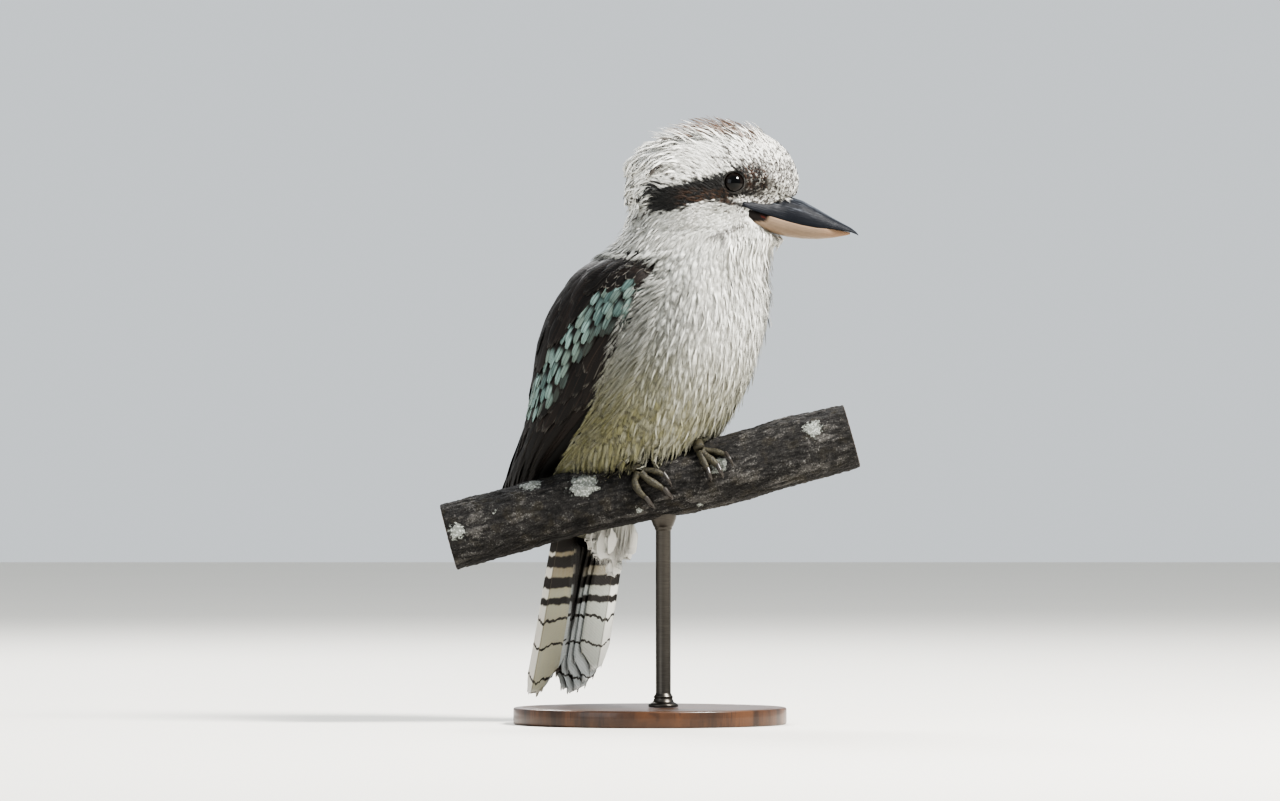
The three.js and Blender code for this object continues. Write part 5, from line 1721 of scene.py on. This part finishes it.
def plumageMaterial(name):
    recipe = Recipe(name, Roughness=0.72, Sheen_Weight=0.15)
    along, across, own = recipe.values("along", "across", "tint")
    streak = recipe.noise(recipe.point(across * 6.0, along * 1.2, own * 40.0), 1.0, 2.0)
    dusk = recipe.value("dusk")
    colour = recipe.mix(own, "#f7f6f1", "#dcdad3")
    colour = recipe.over(
        colour,
        # grey dusting of the plumage, plus painted shade on the body's sides and lower body
        (dusk * (0.35 + 0.85 * streak), "#6b6d67"),
        (own.ramp(0.8, 0.86) * (0.05 + dusk * 0.66), "#4a4a44"),
        (recipe.value("olive") * 0.84, "#77734a"),
    )
    band = along.ramp(0.7, 0.78) * (1 - along.ramp(0.86, 0.93))
    colour = recipe.over(
        colour,
        (recipe.value("scallop") * band * streak.ramp(0.15, 0.4) * 0.95, "#33322d"),
        (recipe.value("flank") * band * 0.9, "#25211a"),
        # dark specks, and painted shadow in the cheek crease
        (recipe.value("speck") * along.ramp(0.2, 0.45) * 0.94, "#28201a"),
        # near-black eye stripe, and painted shade in the thigh cleft
        (recipe.value("stripe") * 0.985, "#0c0907"),
        (recipe.value("rufous") * 0.85, "#5a3d28"),
        # painted shade at each feather's root, under the feathers that overlap it
        ((1 - along.ramp(0.0, 0.3)) * 0.22, "#6f706c"),
    )
    return recipe.done(colour, streak, 0.0004, 0.5)


def wingMaterial():
    recipe = Recipe("wingPlumage", Roughness=0.62, Specular_IOR_Level=0.3)
    along, across, own, blue = recipe.values("along", "across", "tint", "blue")
    streak = recipe.noise(recipe.point(across * 9.0, along * 2.0, own * 40.0), 1.0, 2.0)
    barbs = (across.size() * 30.0 + along * 160.0).wave()
    colour = recipe.mix(own, "#0c0806", "#1d140f")
    colour = recipe.mix(streak.ramp(0.35, 0.75) * 0.6, colour, "#040303")
    rim = across.size().ramp(0.8, 0.93).most((along + across.size() * 0.14).ramp(0.9, 0.96))
    colour = recipe.mix(rim * recipe.value("edge") * 0.9, colour, "#85817a")
    sky = recipe.mix(streak.ramp(0.2, 0.8), "#36524f", "#a6beb7")
    sky = recipe.over(
        sky,
        (own.ramp(0.35, 1.0) * 0.75, "#737f75"),
        ((1 - own.ramp(0.0, 0.35)) * 0.65, "#2a403f"),
        (across.size().ramp(0.5, 0.9) * 0.85, "#121b1a"),
        ((1 - across.size().ramp(0.02, 0.1)) * 0.6, "#24413f"),
    )
    patch = blue * along.ramp(0.4, 0.66) * (1 - across.size().ramp(0.86, 1.0) * 0.75)
    colour = recipe.mix(patch, colour, sky)
    shaft = (1 - across.size().ramp(0.0, 0.07)) * (1 - blue)
    colour = recipe.mix(shaft * 0.35, colour, "#4a3a30")
    return recipe.done(colour, barbs * 0.5 + streak, 0.00025, 0.35)


def tailMaterial():
    recipe = Recipe("tailPlumage", Roughness=0.6)
    reach, outer, own = recipe.values("reach", "outer", "tint")
    wobble = recipe.noise(recipe.point(outer * 2.6, own * 9.0, reach * 5.0), 1.0, 4.0, 0.6) - 0.5
    shift = (own - 0.5) * 0.022
    place = reach + wobble * 0.04 + outer.size() * 0.008 + shift
    thinPlace = reach + wobble * 0.075 + outer.size() * 0.035 + shift
    streak = recipe.noise(recipe.point(outer * 14.0, reach * 6.0, own * 30.0), 1.0, 2.0)

    def bar(spot, low, high, soft=0.006):
        return spot.ramp(low - soft, low + soft) * (1 - spot.ramp(high - soft, high + soft))
    dark = (1 - place.ramp(0.225, 0.237)).most(bar(place, 0.252, 0.312))
    dark = dark.most(bar(place, 0.362, 0.42)).most(bar(place, 0.472, 0.508))
    thin = bar(thinPlace, 0.595, 0.61, 0.003).most(bar(thinPlace, 0.735, 0.746, 0.003))
    thin = thin.most(bar(thinPlace, 0.9, 0.91, 0.003)) * (0.45 + 1.1 * streak)
    pale = recipe.mix(recipe.value("warm"), "#c0c6c6", "#b3af95")
    pale = recipe.over(
        pale,
        ((1 - place.ramp(0.3, 0.48)) * 0.85, "#85734e"),
        (streak * 0.5, "#979d9c"),
    )
    barbs = (outer.size() * 40.0 + reach * 420.0).wave()
    pale = recipe.mix(barbs.ramp(0.0, 1.0) * 0.16, pale, "#7f8483")
    strip = outer.ramp(0.02, 0.1) * recipe.value("rim")
    pale = recipe.over(
        pale,
        (strip * 0.7, "#f0efe9"),
        (recipe.value("along").ramp(0.93, 0.99) * 0.8, "#f4f4f1"),
    )
    colour = recipe.mix(dark.most(thin), pale, "#1d1814")
    colour = recipe.mix(recipe.value("core") * 0.96, colour, "#16110e")
    rufous = recipe.mix((place * 62.0).wave().ramp(-0.1, 0.25), "#432d1f", "#17110e")
    upper = recipe.value("top") * (1 - place.ramp(0.86, 0.9))
    colour = recipe.mix(upper, colour, rufous)
    shaft = 1 - outer.size().ramp(0.0, 0.035)
    colour = recipe.mix(shaft * 0.6, colour, "#5d5346")
    return recipe.done(colour, barbs * 0.4 + streak + shaft * 2.0, 0.0003, 0.4)


def billMaterial(upper):
    recipe = Recipe("billDark" if upper else "billPale", Roughness=0.4, Specular_IOR_Level=0.22)
    reach, depth, wide = recipe.values("reach", "depth", "wide")
    grain = recipe.noise(recipe.point(reach * 7.0, depth * 16.0, wide * 10.0), 1.0, 4.0, 0.6)
    fine = recipe.noise(recipe.point(reach * 40.0, depth * 50.0, wide * 40.0), 1.0, 3.0)
    if upper:
        colour = recipe.mix(grain, "#08090c", "#181c25")
        # painted highlight along the top of the ridge, from the middle to the tip
        ridge = depth.ramp(0.86, 1.0) * reach.ramp(0.35, 0.6)
        colour = recipe.mix(ridge * 0.35, colour, "#767b82")
        # lighter grey patches over the upper part, fading out towards the tip
        paleUpperPatches = grain.ramp(0.55, 0.66) * (1 - reach.ramp(0.6, 0.85)) * depth.ramp(0.35, 0.6)
        colour = recipe.mix(paleUpperPatches * 0.4, colour, "#6d7178")
    else:
        colour = recipe.mix(grain, "#6f5e4f", "#8c7b69")
        colour = recipe.over(
            colour,
            (reach.ramp(0.62, 0.95) * 0.45, "#8d6549"),
            ((1 - depth.ramp(0.0, 0.16)) * reach.ramp(0.15, 0.4) * 0.5, "#8d7764"),
            (recipe.value("gape"), "#17110f"),
        )
        red = recipe.value("red") * recipe.value("gape") * grain.ramp(0.3, 0.6)
        colour = recipe.mix(red, colour, "#54231b")
    recipe.feed("Roughness", fine * 0.3 + 0.34)
    return recipe.done(colour, grain + fine * 0.4, 0.0004, 0.45)


def eyeMaterial():
    gloss = {"Roughness": 0.08, "Specular_IOR_Level": 0.22, "Coat_Weight": 0.2, "Coat_Roughness": 0.02}
    recipe = Recipe("eyeGloss", **gloss)
    aside = recipe.value("aside")
    grain = recipe.noise(recipe.place(), 1600.0, 3.0)
    iris = recipe.mix(grain, "#0a0604", "#170e08")
    pupil = 1 - aside.ramp(eyeSizes["pupil"] - 0.15, eyeSizes["pupil"] + 0.15)
    colour = recipe.mix(pupil, iris, "#020202")
    colour = recipe.mix(aside.ramp(eyeSizes["iris"] - 0.3, eyeSizes["iris"]), colour, "#080706")
    return recipe.done(colour)


def lidMaterial():
    recipe = Recipe("lidSkin", Roughness=0.6)
    grain = recipe.noise(recipe.place(), 900.0, 4.0)
    return recipe.done(recipe.mix(grain, "#0f0d0b", "#2b2822"), grain, 0.0003, 0.6)


def footMaterial():
    recipe = Recipe("footSkin", Roughness=0.6)
    scale = recipe.cells(recipe.place(), 900.0)
    grain = recipe.noise(recipe.place(), 260.0, 4.0)
    colour = recipe.mix(grain, "#24211a", "#4d4833")
    colour = recipe.mix(scale.ramp(0.4, 0.75) * 0.75, colour, "#1f1c15")
    return recipe.done(colour, 1 - scale, 0.0003, 0.8)


def clawMaterial():
    recipe = Recipe("clawHorn", Roughness=0.3)
    along = recipe.value("along")
    grain = recipe.noise(recipe.point(along * 6.0, recipe.value("round") * 2.0, 0.0), 1.0, 3.0)
    colour = recipe.mix(grain, "#1c1917", "#46403a")
    return recipe.done(recipe.mix(along.ramp(0.75, 1.0) * 0.4, colour, "#7d756a"), grain, 0.0002, 0.5)


def barkMaterial():
    recipe = Recipe("bark", Roughness=0.88)
    place = recipe.place()
    flat = recipe.point(recipe.value("alongPerch") * 0.45, recipe.value("roundPerch"), 0.0)
    grain = recipe.noise(flat, 700.0, 6.0, 0.75)
    grit = recipe.noise(place, 950.0, 3.0, 0.6)
    coarse = recipe.noise(place, 120.0, 4.0)
    flakes = recipe.cells(flat, 420.0)
    rough = recipe.value("rough")
    colour = recipe.mix(grain.ramp(0.35, 0.65), "#0e0d0c", "#33302e")
    colour = recipe.over(
        colour,
        # painted highlight on the raised relief
        (rough.ramp(0.5, 0.9) * (0.2 + 0.5 * grain), "#6b6864"),
        # painted shade in the hollows of the relief
        ((1 - rough.ramp(0.15, 0.45)) * 0.85, "#0d0b0a"),
        (coarse.ramp(0.5, 0.7) * 0.3, "#3f3827"),
    )
    crust = recipe.cells(place, 800.0)
    edge = recipe.noise(place, 420.0, 5.0, 0.7)
    lichen = (recipe.value("lichen") * 1.35 + (edge - 0.5) * 2.6 - 0.62).ramp(-0.04, 0.12)
    flecks = grit.ramp(0.56, 0.64) * (0.15 + rough.ramp(0.4, 0.7) * 0.6)
    colour = recipe.mix((1 - grit.ramp(0.34, 0.44)) * 0.7, colour, "#080706")
    pale = recipe.mix(crust.ramp(0.1, 0.6), "#c3c6c0", "#7f827c")
    colour = recipe.over(
        colour,
        (flecks * 0.6, "#8d8b87"),
        (lichen * 0.92, pale),
    )
    sawn = recipe.noise(place, 45.0, 3.0)
    ringed = (recipe.value("ringPlace") * 52.0 + sawn * 16.0 + coarse * 3.0).wave().ramp(-0.4, 0.9)
    wood = recipe.mix(ringed, "#7d654a", "#9c845f")
    wood = recipe.over(
        wood,
        (sawn.ramp(0.4, 0.7) * 0.5, "#6d5b47"),
        (recipe.value("ringPlace").ramp(0.86, 0.93), "#3a2d22"),
    )
    colour = recipe.mix(recipe.value("cutEnd"), colour, wood)
    return recipe.done(colour, grain + flakes * 0.5 + lichen * 0.5, 0.0014, 0.9)


def woodMaterial():
    recipe = Recipe("baseWood", Roughness=0.38, Coat_Weight=0.25)
    place = recipe.stretched(recipe.place(), 1.0, 9.0, 1.0)
    grain = recipe.noise(place, 14.0, 6.0, 0.6)
    pores = recipe.noise(recipe.stretched(recipe.place(), 1.0, 30.0, 1.0), 60.0, 3.0)
    colour = recipe.mix(grain.ramp(0.3, 0.7), "#2a1a10", "#5a3a22")
    colour = recipe.mix(pores.ramp(0.55, 0.7) * 0.5, colour, "#1a0f09")
    return recipe.done(colour, pores, 0.0002, 0.3)


def metalMaterial():
    recipe = Recipe("rodMetal", Metallic=1.0, Roughness=0.35)
    brushed = recipe.noise(recipe.stretched(recipe.place(), 1.0, 1.0, 14.0), 160.0, 3.0)
    recipe.feed("Roughness", 0.25 + brushed * 0.25)
    return recipe.done(recipe.mix(brushed, "#3c3a37", "#5c5853"), brushed, 0.0001, 0.2)


# Run

addView()
addLight()
addFloor()
print("view, light and floor")

plumage = plumageMaterial("plumage")
dark = wingMaterial()
skin = makeSkin()
skinPoints = pointsOf(skin)
skinRandom = np.random.default_rng(5)
mark(skin, skinPoints, skinRandom.random(len(skinPoints)), 0.4 * skinRandom.uniform(-1, 1, len(skinPoints)))
setEven(skin, along=0.6, across=0)
setValues(skin, "tint", skinRandom.random(len(skinPoints)))
dress(skin, plumage, "white_plumage", "head", "neck", "torso")
print("skin", len(skin.data.polygons))
bed = makeBed()
bedPieces = {side: makeWing(bed, side, dark) for side in (-1, 1)}
print("wings")

coatTree = treeOf(skin, *bedPieces.values())
makeCoat(skin, coatTree, plumage)
makeMantle(skin, treeOf(skin), dark)
for side, bedPiece in bedPieces.items():
    makeFlank(skin, bedPiece, side, plumage)
print("coat")

makeTail(tailMaterial())
makeTuft(plumage)
billTop = makeBill(True, billMaterial(True), "bill_dark")
makeBill(False, billMaterial(False), "bill_pale")
makeBristles(treeOf(skin, billTop), plumage)
eyeFinish = eyeMaterial()
lidFinish = lidMaterial()
for word in eyes:
    makeEye(word, eyeFinish, lidFinish)
print("tail, bill and eyes")

barkTree = treeOf(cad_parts["perch"])
footFinish = footMaterial()
clawFinish = clawMaterial()
for word in feet:
    makeFoot(word, barkTree, footFinish, clawFinish)
makePerch(barkMaterial())
makeStand(woodMaterial(), metalMaterial())
print("feet, perch and stand")
